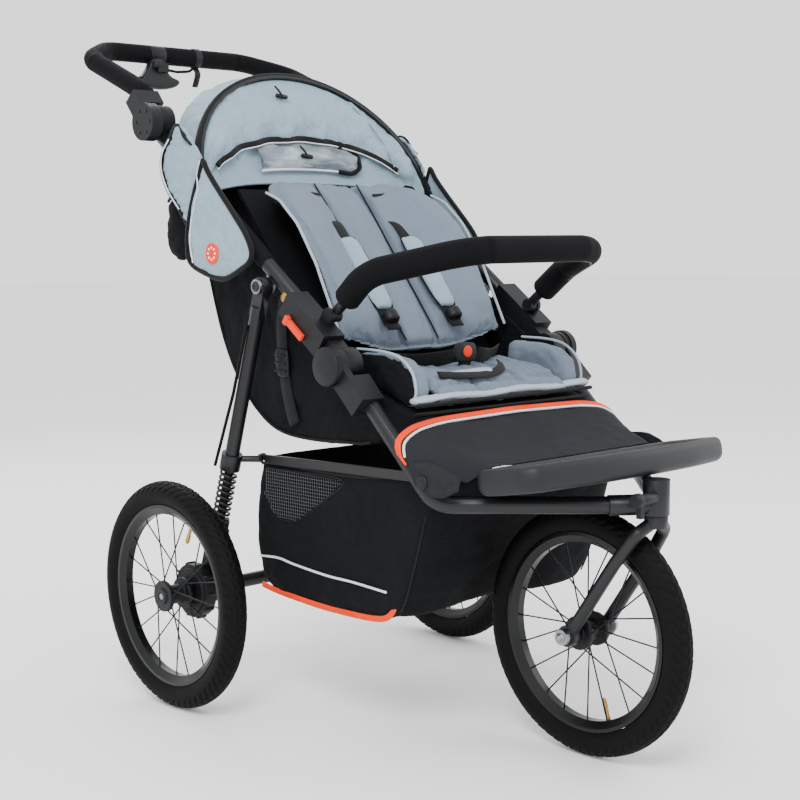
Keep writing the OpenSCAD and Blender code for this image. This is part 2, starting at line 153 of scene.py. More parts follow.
def area_light(name, place, target, size, power):
    data = bpy.data.lights.new(name, "AREA")
    data.shape = "DISK"
    data.size = size
    data.energy = power
    light = bpy.data.objects.new(name, data)
    light.location = place
    light.rotation_euler = (Vector(target) - Vector(place)).to_track_quat("-Z", "Y").to_euler()
    bpy.context.scene.collection.objects.link(light)


def make_studio():
    world = bpy.data.worlds.new("studio")
    world.use_nodes = True
    background = world.node_tree.nodes["Background"]
    background.inputs["Color"].default_value = (0.96, 0.97, 0.99, 1)
    background.inputs["Strength"].default_value = 1.7
    bpy.context.scene.world = world
    area_light("key", (-1.9, -1.6, 2.6), (0, 0, 0.5), 1.3, 90)
    area_light("fill", (2.2, -1.4, 1.6), (0, 0, 0.5), 2.0, 26)
    area_light("back", (0.6, 2.4, 2.2), (0, 0, 0.6), 1.6, 40)
    bpy.ops.mesh.primitive_plane_add(size=40)
    floor = bpy.context.object
    floor.name = "floor"
    paint = bpy.data.materials.new("floor")
    paint.use_nodes = True
    shader = paint.node_tree.nodes["Principled BSDF"]
    shader.inputs["Base Color"].default_value = (0.94, 0.94, 0.94, 1)
    shader.inputs["Roughness"].default_value = 0.85
    floor.data.materials.append(paint)


# ---- materials ----
def colour(code, gain=1.0):
    """A web colour as linear light."""
    parts = [int(code[i:i + 2], 16) / 255 for i in (1, 3, 5)]
    return tuple(gain * (p / 12.92 if p < 0.04045 else ((p + 0.055) / 1.055) ** 2.4) for p in parts) + (1,)


def new_material(name, rough, **sockets):
    """A material with its shader, and the texture position in metres."""
    made = bpy.data.materials.new(name)
    made.use_nodes = True
    tree = made.node_tree
    shader = tree.nodes["Principled BSDF"]
    shader.inputs["Roughness"].default_value = rough
    for key, value in sockets.items():
        shader.inputs[key.replace("_", " ")].default_value = value
    place = tree.nodes.new("ShaderNodeTexCoord").outputs["Object"]
    return made, tree, shader, place


def noise_of(tree, place, scale, detail=3.0, distortion=0.0):
    node = tree.nodes.new("ShaderNodeTexNoise")
    node.inputs["Scale"].default_value = scale
    node.inputs["Detail"].default_value = detail
    node.inputs["Distortion"].default_value = distortion
    tree.links.new(place, node.inputs["Vector"])
    return node.outputs["Fac"]


def wave_of(tree, place, direction, pitch):
    node = tree.nodes.new("ShaderNodeTexWave")
    node.bands_direction = direction
    node.inputs["Scale"].default_value = tau / 20 / pitch
    node.inputs["Distortion"].default_value = 0.4
    node.inputs["Detail"].default_value = 1
    tree.links.new(place, node.inputs["Vector"])
    return node.outputs["Fac"]


def math_of(tree, operation, first, second):
    node = tree.nodes.new("ShaderNodeMath")
    node.operation = operation
    for socket, value in zip(node.inputs, (first, second)):
        if isinstance(value, (int, float)):
            socket.default_value = value
        else:
            tree.links.new(value, socket)
    return node.outputs[0]


def ramp_of(tree, factor, dark, light, start=0.3, end=0.7):
    node = tree.nodes.new("ShaderNodeValToRGB")
    node.color_ramp.elements[0].position = start
    node.color_ramp.elements[0].color = dark
    node.color_ramp.elements[1].position = end
    node.color_ramp.elements[1].color = light
    tree.links.new(factor, node.inputs["Fac"])
    return node.outputs["Color"]


def bump_of(tree, shader, height, strength, distance, normal=None):
    node = tree.nodes.new("ShaderNodeBump")
    node.inputs["Strength"].default_value = strength
    node.inputs["Distance"].default_value = distance
    tree.links.new(height, node.inputs["Height"])
    if normal is not None:
        tree.links.new(normal, node.inputs["Normal"])
    tree.links.new(node.outputs["Normal"], shader.inputs["Normal"])
    return node.outputs["Normal"]


def woven(name, code, contrast=0.16, pitch=0.0022, rough=0.85, sheen=0.25, crease=0.5, shine=0.3):
    """Plain woven cloth: threads each way, slubs and soft creases."""
    made, tree, shader, place = new_material(name, rough, Sheen_Weight=sheen, Sheen_Roughness=0.45)
    shader.inputs["Sheen Tint"].default_value = colour(code, 1.5)
    shader.inputs["Specular IOR Level"].default_value = shine
    threads = math_of(tree, "ADD", wave_of(tree, place, "X", pitch), wave_of(tree, place, "Z", pitch))
    threads = math_of(tree, "ADD", threads, wave_of(tree, place, "Y", pitch))
    slubs = noise_of(tree, place, 420, 2)
    stains = noise_of(tree, place, 14, 4)
    mixed = math_of(tree, "ADD", math_of(tree, "MULTIPLY", threads, 0.2),
                    math_of(tree, "MULTIPLY", slubs, 0.35))
    mixed = math_of(tree, "ADD", mixed, math_of(tree, "MULTIPLY", stains, 0.35))
    tint = ramp_of(tree, mixed, colour(code, 1 - contrast), colour(code, 1 + contrast), 0.35, 0.8)
    tree.links.new(tint, shader.inputs["Base Color"])
    soft = bump_of(tree, shader, noise_of(tree, place, 26, 3, 0.6), crease, 0.004)
    bump_of(tree, shader, math_of(tree, "ADD", threads, slubs), 0.35, 0.0005, soft)
    return made


def webbing_material(name, code):
    """Tightly ribbed webbing or binding tape."""
    made, tree, shader, place = new_material(name, 0.72, Sheen_Weight=0.05, Specular_IOR_Level=0.15)
    ribs = math_of(tree, "ADD", wave_of(tree, place, "DIAGONAL", 0.0018), wave_of(tree, place, "Z", 0.003))
    tint = ramp_of(tree, ribs, colour(code, 0.75), colour(code, 1.2), 0.3, 1.4)
    tree.links.new(tint, shader.inputs["Base Color"])
    bump_of(tree, shader, ribs, 0.5, 0.0006)
    return made


def moulded(name, code, rough=0.48, grain=900, depth=0.25, coat=0.0, shine=0.35):
    """Moulded plastic or paint: fine grain, uneven gloss and lighter worn edges."""
    made, tree, shader, place = new_material(name, rough, Coat_Weight=coat, Coat_Roughness=0.25,
                                             Specular_IOR_Level=shine)
    fine = noise_of(tree, place, grain, 2)
    broad = noise_of(tree, place, 22, 4)
    edges = tree.nodes.new("ShaderNodeNewGeometry").outputs["Pointiness"]
    worn = math_of(tree, "MULTIPLY", math_of(tree, "SUBTRACT", edges, 0.5), 2.2)
    mixed = math_of(tree, "ADD", math_of(tree, "MULTIPLY", broad, 0.6), worn)
    tint = ramp_of(tree, mixed, colour(code, 0.82), colour(code, 1.35), 0.15, 0.75)
    tree.links.new(tint, shader.inputs["Base Color"])
    gloss = tree.nodes.new("ShaderNodeMapRange")
    gloss.inputs["To Min"].default_value = rough - 0.08
    gloss.inputs["To Max"].default_value = rough + 0.1
    tree.links.new(broad, gloss.inputs["Value"])
    tree.links.new(gloss.outputs["Result"], shader.inputs["Roughness"])
    bump_of(tree, shader, fine, depth, 0.0005)
    return made


def metal(name, code, rough=0.3):
    made, tree, shader, place = new_material(name, rough, Metallic=1.0)
    brushed = noise_of(tree, place, 300, 4, 1.5)
    tree.links.new(ramp_of(tree, brushed, colour(code, 0.8), colour(code, 1.15)), shader.inputs["Base Color"])
    bump_of(tree, shader, brushed, 0.12, 0.0004)
    return made


def clear_plastic(name):
    """Thin clear film, creased, so that it catches the light; its colour runs dark to pale with the creases,
    painted shade and painted highlight.
    """
    made, tree, shader, place = new_material(name, 0.08, Alpha=0.45, IOR=1.5, Coat_Weight=1.0,
                                             Coat_Roughness=0.03)
    creases = noise_of(tree, place, 14, 1, 1.2)
    # painted shade and painted highlight: the film's colour darkens and lightens with the creases
    tree.links.new(ramp_of(tree, creases, colour("#46555f"), colour("#bccbd2")), shader.inputs["Base Color"])
    bump_of(tree, shader, creases, 0.6, 0.01)
    return made


def quilted(name, code):
    """The liner's brushed cloth over wadding: soft, with a fine grain."""
    return woven(name, code, contrast=0.1, pitch=0.0016, rough=0.92, sheen=0.2, crease=0.35)


BLACK = "#0c0d0f"
M = {
    "frame": moulded("frame_black", "#0d0e10", 0.4, 700, 0.12, 0.1, 0.3),
    "plastic": moulded("moulded_black", "#0c0d0f", 0.5, 1100, 0.35, shine=0.25),
    "tray": moulded("tray_black", "#141517", 0.5, 1300, 0.5, shine=0.3),
    "insert": moulded("tray_insert", "#37393c", 0.6, 1500, 0.6, shine=0.25),
    "foam": moulded("foam_black", "#08080a", 0.85, 1600, 0.9, shine=0.12),
    "rubber": moulded("tyre_rubber", "#070707", 0.7, 600, 0.3, shine=0.12),
    "rim": moulded("rim_black", "#070809", 0.28, 500, 0.06, 0.05, 0.25),
    "spoke": metal("spoke_steel", "#232427", 0.35),
    "steel": metal("metal_grey", "#8e9094", 0.32),
    "brass": metal("valve_brass", "#b08a4e", 0.3),
    "orange": moulded("signal_orange", "#dc3208", 0.45, 900, 0.2, shine=0.2),
    "shell": woven("shell_fabric", "#0b0c0e", 0.3, sheen=0.05, crease=0.9, shine=0.12),
    "apron": woven("apron_fabric", "#202124", 0.28, 0.0024, 0.9, 0.1, 0.35, 0.12),
    "liner": quilted("liner_fabric", "#65707d"),
    "liner_light": quilted("liner_light", "#98a3ad"),
    "hood": woven("canopy_fabric", "#8094a0", 0.12, 0.0018, 0.72, 0.35, 0.55),
    "strap": webbing_material("strap_webbing", BLACK),
    "binding": webbing_material("binding_tape", "#0a0a0b"),
    "silver": moulded("reflective_tape", "#c9ccd0", 0.35, 1500, 0.3),
    "orange_tape": moulded("orange_tape", "#e0370a", 0.6, 1400, 0.5, shine=0.15),
    "net": webbing_material("net_threads", "#4b4d50"),
    "film": clear_plastic("window_film"),
    "white": moulded("print_white", "#e9e9e9", 0.6, 900, 0.1),
}


# ---- mesh building ----
def piece(name, points, faces, material, body, smooth=True, slot=None):
    """A mesh of millimetre points that rides on a body."""
    data = bpy.data.meshes.new(name)
    data.from_pydata([at(*p) for p in points], [], faces)
    data.validate()
    data.materials.append(M[material])
    made = bpy.data.objects.new(name, data)
    bpy.context.scene.collection.objects.link(made)
    if smooth:
        data.shade_smooth()
    if body:
        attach(made, body)
    return made


def settle(made):
    """Applies every modifier."""
    bpy.context.view_layer.update()
    graph = bpy.context.evaluated_depsgraph_get()
    data = bpy.data.meshes.new_from_object(made.evaluated_get(graph))
    made.modifiers.clear()
    made.data = data
    return made


def soften(made, levels=1, bevel=0.0, thickness=0.0, offset=0.0):
    """Gives a sheet its thickness, bevels edges, subdivides, then applies it all."""
    if thickness:
        solid = made.modifiers.new("solid", "SOLIDIFY")
        solid.thickness = thickness * MM
        solid.offset = offset
    if bevel:
        edge = made.modifiers.new("edge", "BEVEL")
        edge.width = bevel * MM
        edge.segments = 2
        edge.limit_method = "ANGLE"
    if levels:
        rounding = made.modifiers.new("round", "SUBSURF")
        rounding.levels = rounding.render_levels = levels
    return settle(made)


def grid(rows, closed=False, capped=False):
    """Points and faces of a surface through rows of points."""
    count = len(rows[0])
    points = [p for row in rows for p in row]
    faces = []
    for i in range(len(rows) - 1):
        for k in range(count if closed else count - 1):
            a, b = i * count + k, i * count + (k + 1) % count
            faces.append((a, b, b + count, a + count))
    if capped:
        faces.append(tuple(reversed(range(count))))
        faces.append(tuple(range(len(points) - count, len(points))))
    return points, faces


def spline(points, count):
    """count points spread along a smooth curve through the given ones."""
    p = [Vector(q) for q in points]
    p = [2 * p[0] - p[1]] + p + [2 * p[-1] - p[-2]]
    fine = []
    for i in range(1, len(p) - 2):
        for k in range(12):
            t = k / 12
            a, b, c, d = p[i - 1:i + 3]
            fine.append(0.5 * ((2 * b) + (c - a) * t + (2 * a - 5 * b + 4 * c - d) * t * t
                               + (3 * b - a - 3 * c + d) * t ** 3))
    fine.append(p[-2])
    run = [0.0]
    for a, b in zip(fine, fine[1:]):
        run.append(run[-1] + (b - a).length)
    wanted = np.linspace(0, run[-1], count)
    axes = [np.interp(wanted, run, [q[k] for q in fine]) for k in range(len(fine[0]))]
    return [Vector(q) for q in zip(*axes)]


def frames(path, level=None):
    """For each point of a path: its two cross directions, turned as little as possible."""
    found = []
    side = Vector(level) if level else None
    for i, p in enumerate(path):
        ahead = (path[min(i + 1, len(path) - 1)] - path[max(i - 1, 0)]).normalized()
        if side is None:
            side = ahead.orthogonal()
        base = Vector(level) if level else side
        side = (base - base.dot(ahead) * ahead).normalized()
        found.append((p, side, ahead.cross(side)))
    return found


def sweep(name, path, section, material, body, level=None, taper=0.0, slot=None):
    """A bar along a path; section is a list of (across, up) points, and taper rounds the ends."""
    rows = []
    last = len(path) - 1
    for p, side, up in frames(path, level):
        rows.append([tuple(p + a * side + b * up) for a, b in section])
    if taper:
        for end, step in ((0, 1), (last, -1)):
            p = path[end]
            out = (p - path[end + step]).normalized()
            for share, reach in ((0.9, 0.45), (0.55, 0.9)):
                outline = rows[0 if end == 0 else -1]
                ring = [tuple(p + (Vector(q) - p) * share + out * taper * reach) for q in outline]
                if share == 0.9:
                    first = ring
                    continue
                if end == 0:
                    rows = [ring, first] + rows
                else:
                    rows = rows + [first, ring]
    made = piece(name, *grid(rows, closed=True, capped=True), material, body, slot=slot)
    return made


def circle(radius, sides=12, tall=None):
    return [(radius * cos(tau * k / sides), (tall or radius) * sin(tau * k / sides))
            for k in range(sides)]


def flat(width, thick):
    """The section of a strap with soft edges."""
    w, t = width / 2, thick / 2
    return [(-w, -t * 0.4), (-w + t, -t), (0, -t * 1.02), (w - t, -t), (w, -t * 0.4),
            (w, t * 0.4), (w - t, t), (0, t * 1.02), (-w + t, t), (-w, t * 0.4)]


def sharp(value, power):
    """A sine or cosine drawn out, for a ring with squared corners."""
    return copysign(abs(value) ** power, value)


def strap(name, path, width, thick, across, body, material="strap", count=24, slot=None):
    return sweep(name, spline(path, count), flat(width, thick), material, body, level=across, slot=slot)


def tape(name, path, radius, material, body, count=60, slot=None):
    """Piping or binding along an edge."""
    return sweep(name, spline(path, count), circle(radius, 8), material, body, taper=radius, slot=slot)


def turned(name, centre, axis, profile, material, body, sides=40, slot=None):
    """A solid of revolution; profile is a list of (radius, distance along the axis)."""
    ahead = Vector(axis).normalized()
    side = ahead.orthogonal().normalized()
    up = ahead.cross(side)
    rows = [[tuple(Vector(centre) + ahead * d + radius * (cos(tau * k / sides) * side
             + sin(tau * k / sides) * up)) for k in range(sides)] for radius, d in profile]
    made = piece(name, *grid(rows, closed=True, capped=True), material, body, smooth=False, slot=slot)
    made.data.shade_smooth()
    return soften(made, 0, bevel=0.6)


def coordinates(made):
    """The vertices and their normals, as arrays."""
    count = len(made.data.vertices)
    places, normals = np.zeros(count * 3), np.zeros(count * 3)
    made.data.vertices.foreach_get("co", places)
    made.data.vertices.foreach_get("normal", normals)
    return places.reshape(-1, 3), normals.reshape(-1, 3)


def push(made, amounts):
    """Moves each vertex along its normal, by metres."""
    places, normals = coordinates(made)
    places += normals * np.array(amounts)[:, None]
    made.data.vertices.foreach_set("co", places.ravel())
    made.data.update()
    return made


def wrinkle(made, size, depth, stretch=(1, 1, 1), seed=0.0, hold=None):
    """Moves the points along their normals by smooth noise; hold(point) is 0 where they stay."""
    places, _ = coordinates(made)
    scaled = places * np.array(stretch) / (size * MM) + np.array((0, 0, seed))
    amounts = []
    for place, q in zip(places, scaled):
        amount = noise.fractal(Vector(q), 0.9, 2.0, 3) * depth * MM
        amounts.append(amount * hold(Vector(place)) if hold else amount)
    return push(made, amounts)


CLOTH_PRESSURE = 4.0
CLOTH_QUALITY = 5
CLOTH_FRAMES = 20


def inflate(made, cap, voxel=5.0):
    """Swells a closed form as stuffed cloth; no point moves further than cap, in millimetres."""
    made.modifiers.new("voxels", "REMESH").mode = "VOXEL"
    made.modifiers["voxels"].voxel_size = voxel * MM * 1
    settle(made)
    scene = bpy.context.scene
    scene.frame_set(1)
    rest = np.array([v.co for v in made.data.vertices])
    cloth = made.modifiers.new("cloth", "CLOTH")
    cloth.settings.use_pressure = True
    cloth.settings.uniform_pressure_force = CLOTH_PRESSURE
    cloth.settings.effector_weights.gravity = 0
    cloth.settings.quality = CLOTH_QUALITY
    for number in range(1, CLOTH_FRAMES + 1):
        scene.frame_set(number)
    settle(made)
    scene.frame_set(1)
    moved = np.array([v.co for v in made.data.vertices]) - rest
    length = np.linalg.norm(moved, axis=1, keepdims=True)
    limit = cap * MM
    moved *= np.where(length > 1e-9, limit * np.tanh(length / limit) / np.maximum(length, 1e-9), 1)
    made.data.vertices.foreach_set("co", (rest + moved).ravel())
    made.data.update()
    return soften(made, 1)


def seams(made, line, depth=5.0, width=5.0, facing=None):
    """Presses a sewn channel into a pad; line gives, for a millimetre point, its distance from the seam."""
    places, normals = coordinates(made)
    turned_to = normals @ np.array(facing) if facing else np.ones(len(places))
    away = [line(Vector((x, y - FRONT_Y, z)) / MM) for x, y, z in places]
    pressed = np.exp(-(np.array(away) / width) ** 2) * (turned_to > 0.2)
    return push(made, -depth * MM * pressed)


# ---- hard parts ----
def dress_cad():
    """Gives every CAD node that still shows its material, and breaks its sharp edges."""
    finish = {
        "frame": ["side_tubes", "head_casting", "upper_tubes", "upper_crossbar", "rear_legs", "axle_tube",
                  "handle_tube", "canopy_bow", "bumper_tube", "fork", "side_links"],
        "plastic": ["hinge_bases", "hinge_arms", "handle_hub_shells", "handle_hubs", "brake_clamp",
                    "brake_lever", "bumper_connectors", "axle_carriers", "brake_drums", "swivel_lock",
                    "hub_left", "hub_right", "hub_front"],
        "shell": ["backrest_board"],
        "rim": ["rim_left", "rim_right", "rim_front"],
        "spoke": ["spokes_left", "spokes_right", "spokes_front"],
        "steel": ["link_studs", "leg_pivots", "front_axle"],
        "orange": ["catch_left", "catch_right"],
        "rubber": ["leg_cable", "brake_cable"],
    }
    for material, names in finish.items():
        for name in names:
            node = nodes[name]
            node.data.materials.clear()
            node.data.materials.append(M[material])
            if material in ("frame", "plastic", "orange"):
                weld = node.modifiers.new("weld", "WELD")
                weld.merge_threshold = 0.00002
                edge = node.modifiers.new("edge", "BEVEL")
                edge.width = 0.0012
                edge.segments = 2
                edge.limit_method = "ANGLE"
                edge.angle_limit = radians(40)
                edge.harden_normals = True


# ---- wheels ----
TYRE_R = 20
TREAD_BLOCKS = 66


def tread(phi, turn):
    """How deep the tread is cut at an angle phi round the section, in degrees, and a turn round the wheel."""
    side = abs(phi)
    if side > 74:
        return 0.0
    if side < 5:
        return 1.1 if (turn * TREAD_BLOCKS) % 1 < 0.25 else 0.0
    if abs(side - 14) < 3 or abs(side - 40) < 3:
        return 1.5
    lean = 0.022 * side if phi > 0 else 0.022 * side + 0.5
    return 1.8 if (turn * TREAD_BLOCKS + lean) % 1 < 0.26 else 0.0


def tyre(name, x, centre, body):
    turns, steps = ((660, 40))
    rows = []
    for i in range(turns):
        turn = i / turns
        a = tau * turn
        row = []
        for k in range(steps + 1):
            phi = -142 + 284 * k / steps
            r = TYRE_R - 0.2 - tread(phi, turn)
            reach = WHEEL_R - TYRE_R + r * cos(radians(phi))
            row.append((x + r * sin(radians(phi)), centre[0] + reach * cos(a),
                        centre[1] + reach * sin(a)))
        rows.append(row)
    rows.append(rows[0])
    made = piece(name + "_tread", *grid(rows), "rubber", body)
    merge = made.modifiers.new("merge", "WELD")
    merge.merge_threshold = 1e-6
    settle(made)
    made.data.shade_smooth()
    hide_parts(name)
    return made


def valve(name, x, centre, body, turn):
    """A brass valve stem with its cap, standing inwards from the rim."""
    inward = Vector((0, -cos(turn), -sin(turn)))
    foot = Vector((x, centre[0], centre[1])) - inward * 127
    turned(name, foot, inward, [(2.6, -2), (2.6, 18), (3.3, 18.5), (3.3, 30), (2.0, 32)], "brass", body, 16)


def make_wheels():
    for side, sign in SIDES:
        tyre(f"tyre_{side}", sign * REAR_X, AXLE, f"wheel_{side}")
        valve(f"valve_{side}", sign * REAR_X, AXLE, f"wheel_{side}", 2.0)
        turned(f"hub_cap_{side}", (sign * (REAR_X + 13), *AXLE), (sign, 0, 0),
               [(13, 0), (13, 5), (10, 8), (4, 9)], "plastic", f"wheel_{side}")
        for k in range(10):
            a = tau * k / 10
            turned(f"drum_rib_{side}_{k}", (sign * 256, AXLE[0] + 42 * cos(a), AXLE[1] + 42 * sin(a)),
                   (1, 0, 0), [(2.5, -9), (3.4, -7), (3.4, 7), (2.5, 9)], "plastic", "rear_axle", 10)
    tyre("tyre_front", 0, (0, WHEEL_R), "wheel_front")
    valve("valve_front", 0, (0, WHEEL_R), "wheel_front", -1.9)


def spring(name, sign):
    """A wire coil on each rear leg, between the collar and the carrier."""
    start, end, coils = 298.5, 381.5, 9
    axis = Vector((0, *np.subtract(on_leg(1), on_leg(0))))
    up = Vector((0, *np.subtract(on_leg(0, 1), on_leg(0))))
    path = []
    for k in range(coils * 14 + 1):
        a = tau * k / 14
        foot = Vector((sign * LEG_X, *on_leg(start)))
        place = foot + axis * (end - start) * k / (coils * 14)
        path.append(place + 12.3 * (cos(a) * Vector((1, 0, 0)) + sin(a) * up))
    made = sweep(name, path, circle(2.1, 8), "frame", "rear_legs")
    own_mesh(made)
    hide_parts("springs")


# ---- footrest ----
def outline(inset, steps=6):
    """The tray's plan, as in the drawing, drawn in by inset."""
    w, front = 208 - inset, -67 + inset
    points = []

    def corner(cx, cy, r, a0, a1):
        for k in range(steps + 1):
            a = radians(a0 + (a1 - a0) * k / steps)
            points.append((cx + r * cos(a), cy + r * sin(a)))

    corner(w - 24, 50 - inset, 24, 0, 80)
    points.extend(((w - 40) * (1 - k / 6), 74 - inset) for k in range(1, 12))
    corner(-w + 24, 50 - inset, 24, 100, 180)
    corner(-w + 38, front + 61, 38, 180, 235)
    points.extend((x * 16, front + 0.22 * x * x) for x in range(-8, 9))
    corner(w - 38, front + 61, 38, -55, 0)
    return points


def make_footrest():
    def ring(inset, z):
        rows = []
        for x, y in outline(inset):
            rows.append((x, REST[0] + y * cos(REST_SLOPE) - z * sin(REST_SLOPE),
                         REST[1] + y * sin(REST_SLOPE) + z * cos(REST_SLOPE)))
        return rows

    steps = [(16, 0.3), (6, 2), (1.5, 7), (0, 14), (0, 27), (1.5, 33.5), (5, 37), (9, 37.2), (13, 35),
             (15, 31.2),
             (20, 30.6), (60, 30.6)]
    made = piece("footrest_tray", *grid([ring(*step) for step in steps], closed=True, capped=True), "tray",
                 "chassis")
    soften(made, 1)
    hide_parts("footrest")
    piece("footrest_insert", *grid([ring(17, 31.0), ring(20, 32.2), ring(64, 32.2)], closed=True,
                                   capped=True), "insert", "chassis")
    for k in range(13):
        x = (k - 6) * 24
        path = [Vector((x, REST[0] + y * cos(REST_SLOPE) - 32.8 * sin(REST_SLOPE),
                        REST[1] + y * sin(REST_SLOPE) + 32.8 * cos(REST_SLOPE))) for y in (-28, 0, 36)]
        sweep(f"tray_rib_{k}", spline(path, 6), circle(1.5, 8), "insert", "chassis", taper=1.5)


# ---- handlebar and bumper bar ----
def bent(points, bend, steps=8):
    """A centre line with round bends, as the tubes have."""
    p = [Vector(q) for q in points]
    made = [p[0]]
    for before, corner, after in zip(p, p[1:], p[2:]):
        u, v = (corner - before).normalized(), (after - corner).normalized()
        turn = u.angle(v)
        inward = (v - u).normalized()
        centre = corner + inward * bend / cos(turn / 2)
        start = corner - bend * tan(turn / 2) * u - centre
        made += [centre + cos(turn * k / steps) * start + sin(turn * k / steps) * bend * u
                 for k in range(steps + 1)]
    made.append(p[-1])
    return made


def mirrored(points):
    return points + [(-x, y, z) for x, y, z in reversed(points)]


def make_handle():
    arm = [Vector(p) for p in ((TUBE_X, 757, 950), (TUBE_X, 774, 967), (TUBE_X, 925, 1030),
                               (146, *HANDLE_BAR))]
    clamp, gap = -46, 17.5
    for name, sign, end in (("left", 1, clamp + gap), ("right", -1, -clamp + gap)):
        path = [Vector((sign * p.x, p.y, p.z)) for p in arm[:1] + bent(arm[1:] + [(end, *HANDLE_BAR)], 55)]
        path = spline(path, 50)
        made = sweep(f"handle_foam_{name}", path, circle(16.3, 24), "foam", "handle", taper=5)
        if sign > 0:
            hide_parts("handle_grip")
        sweep(f"handle_seam_{name}", [p + Vector((0, -6.2, -15.3)) for p in path[6:-2]], circle(0.9, 6),
              "frame",
              "handle", slot="foam_black")
    for k in range(6):
        a = tau * k / 6
        for sign in (1, -1):
            turned(f"hub_bolt_{'left' if sign > 0 else 'right'}_{k}",
                   (sign * 246, HANDLE_HUB[0] + 19 * cos(a), HANDLE_HUB[1] + 19 * sin(a)), (sign, 0, 0),
                   [(2.6, -1), (2.6, 1.2), (1.5, 1.6)], "frame", "handle", 12, slot="moulded_black")
    # the parking brake's second cable, from the lever to the right arm
    cable = [(-84, 966, 1012), (-112, 958, 1010), (-150, 948, 1016), (-180, 930, 1024)]
    tape("lever_cable", cable, 1.5, "rubber", "handle", 24, slot="moulded_black")
    make_lever()
    # a ribbed clip for the wrist strap
    turned("wrist_clip", (41, *HANDLE_BAR), (1, 0, 0), [(17, -7), (17.8, -6), (17.8, 6), (17, 7)], "plastic",
           "handle")
    strap("wrist_strap", [(41, 984, 1038), (41, 976, 1027), (41, 980, 1015), (41, 986, 1004)], 12, 4,
          (1, 0, 0),
          "handle", "plastic", 14)


def make_lever():
    """The parking brake's lever: a waisted strap that spreads into a wide paddle under the bar."""
    side = [(-63, 1049), (-67, 1036), (-74, 1024), (-86, 1012), (-104, 1000), (-103, 995), (-88, 998),
            (-70, 995),
            (-50, 992), (-28, 994), (-10, 999), (-2, 1006), (-4, 1011), (-17, 1013), (-28, 1021), (-35, 1034),
            (-38, 1049)]
    middle = (-50, 1022)
    rows = []
    for y, inset in ((964, 0.2), (965, 0.08), (969, 0), (979, 0), (983, 0.08), (984, 0.2)):
        rows.append([(x + (middle[0] - x) * inset, y, z + (middle[1] - z) * inset) for x, z in side])
    made = piece("lever_paddle", *grid(rows, closed=True, capped=True), "tray", "brake_lever")
    soften(made, 2)
    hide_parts("brake_lever")


def make_bumper():
    half = [(205, 269, 642), (207, 226, 677), (128, 99, 709)]
    path = spline(bent(mirrored(half), 75), 90)
    made = sweep("bumper_sleeve", path, circle(19.3, 28), "foam", "bumper", taper=7)
    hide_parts("bumper_foam")
    sweep("bumper_seam", [p + Vector((0, -4.6, -18.4)) for p in path[8:-8]], circle(1.0, 6), "frame",
          "bumper", slot="foam_black")


# ---- canopy ----
HOOD_ANGLE = radians(62)
REAR = (664, 852)
REAR_ANGLE = radians(57)


def half_oval(centre, angle, width, height, turn, lift=0.0):
    """A point on a canopy hoop: turn runs from 0 on the left side to pi on the right side."""
    rise = height * sin(turn)
    return (width * cos(turn), centre[0] + rise * cos(angle) + lift * sin(angle),
            centre[1] + rise * sin(angle) - lift * cos(angle))


def mix(a, b, t):
    return tuple(p + (q - p) * t for p, q in zip(a, b))


def smooth(t):
    t = min(max(t, 0.0), 1.0)
    return t * t * (3 - 2 * t)


def hood_outer():
    """The gathered shell from the bow back to the rear hoop, and down behind the seat."""
    columns, rows_up, rows_down = 72, 22, 9
    rows = []
    for i in range(rows_up + 1):
        t = i / rows_up
        row = []
        for k in range(columns + 1):
            turn = pi * k / columns
            front = half_oval(CANOPY, HOOD_ANGLE, 233, 216, turn)
            back = half_oval(REAR, REAR_ANGLE, 192, 178, turn, 30)
            x, y, z = mix(front, back, t)
            fold = sin(t * pi) * (7 + 3.4 * sin(t * pi * 5 + 2.2 * sin(turn * 3)))
            fold *= 0.35 + 0.65 * sin(turn)
            row.append((x * (1 + 0.02 * sin(t * pi)), y + fold * sin(turn) * 0.2,
                        z + fold * sin(turn)))
        rows.append(row)
    last = rows[-1]
    for i in range(1, rows_down + 1):
        t = i / rows_down
        row = []
        for k, (x, y, z) in enumerate(last):
            turn = pi * k / columns
            foot = (x * 0.97, 690 + 8 * sin(turn), 872)
            x2, y2, z2 = mix((x, y, z), foot, t)
            row.append((x2, y2 + 16 * sin(pi * t) * sin(turn), min(z2, z)))
        rows.append(row)
    made = piece("hood_shell", *grid(rows), "hood", None)
    soften(made, 1, thickness=1.6)
    wrinkle(made, 34, 3.4, (1, 0.6, 1), 3.1, lambda co: min(1, max(0, (co.z - 0.86) / 0.05)))
    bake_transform(made)
    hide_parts("canopy_hood", "canopy_rear")


def blend_hood(made):
    """Bakes the hood cloth's placing into its mesh."""
    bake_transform(made)


def lining_point(turn, t):
    """The hood's inside, from the bow at t 0 to behind the head at t 1."""
    top = half_oval(CANOPY, HOOD_ANGLE, 231, 213, turn)
    lean = abs(cos(turn))
    low_point = (200 * cos(turn), 602 - 8 * lean, 812 - 12 * lean ** 3)
    x, y, z = mix(top, low_point, t)
    rise = sin(turn)
    puff = 20 * sin(pi * min(t / 0.6, 1)) * rise - 14 * smooth((t - 0.52) / 0.14) * rise
    puff -= 12 * sin(turn * 9 + 1.2) * sin(pi * min(t / 0.62, 1)) * (1 - rise) ** 0.6
    puff += 6 * sin(turn * 19) * smooth((t - 0.3) / 0.25) * (1 - smooth((t - 0.52) / 0.1)) * rise
    return (x, y - puff * 0.85, z - puff * 0.25)


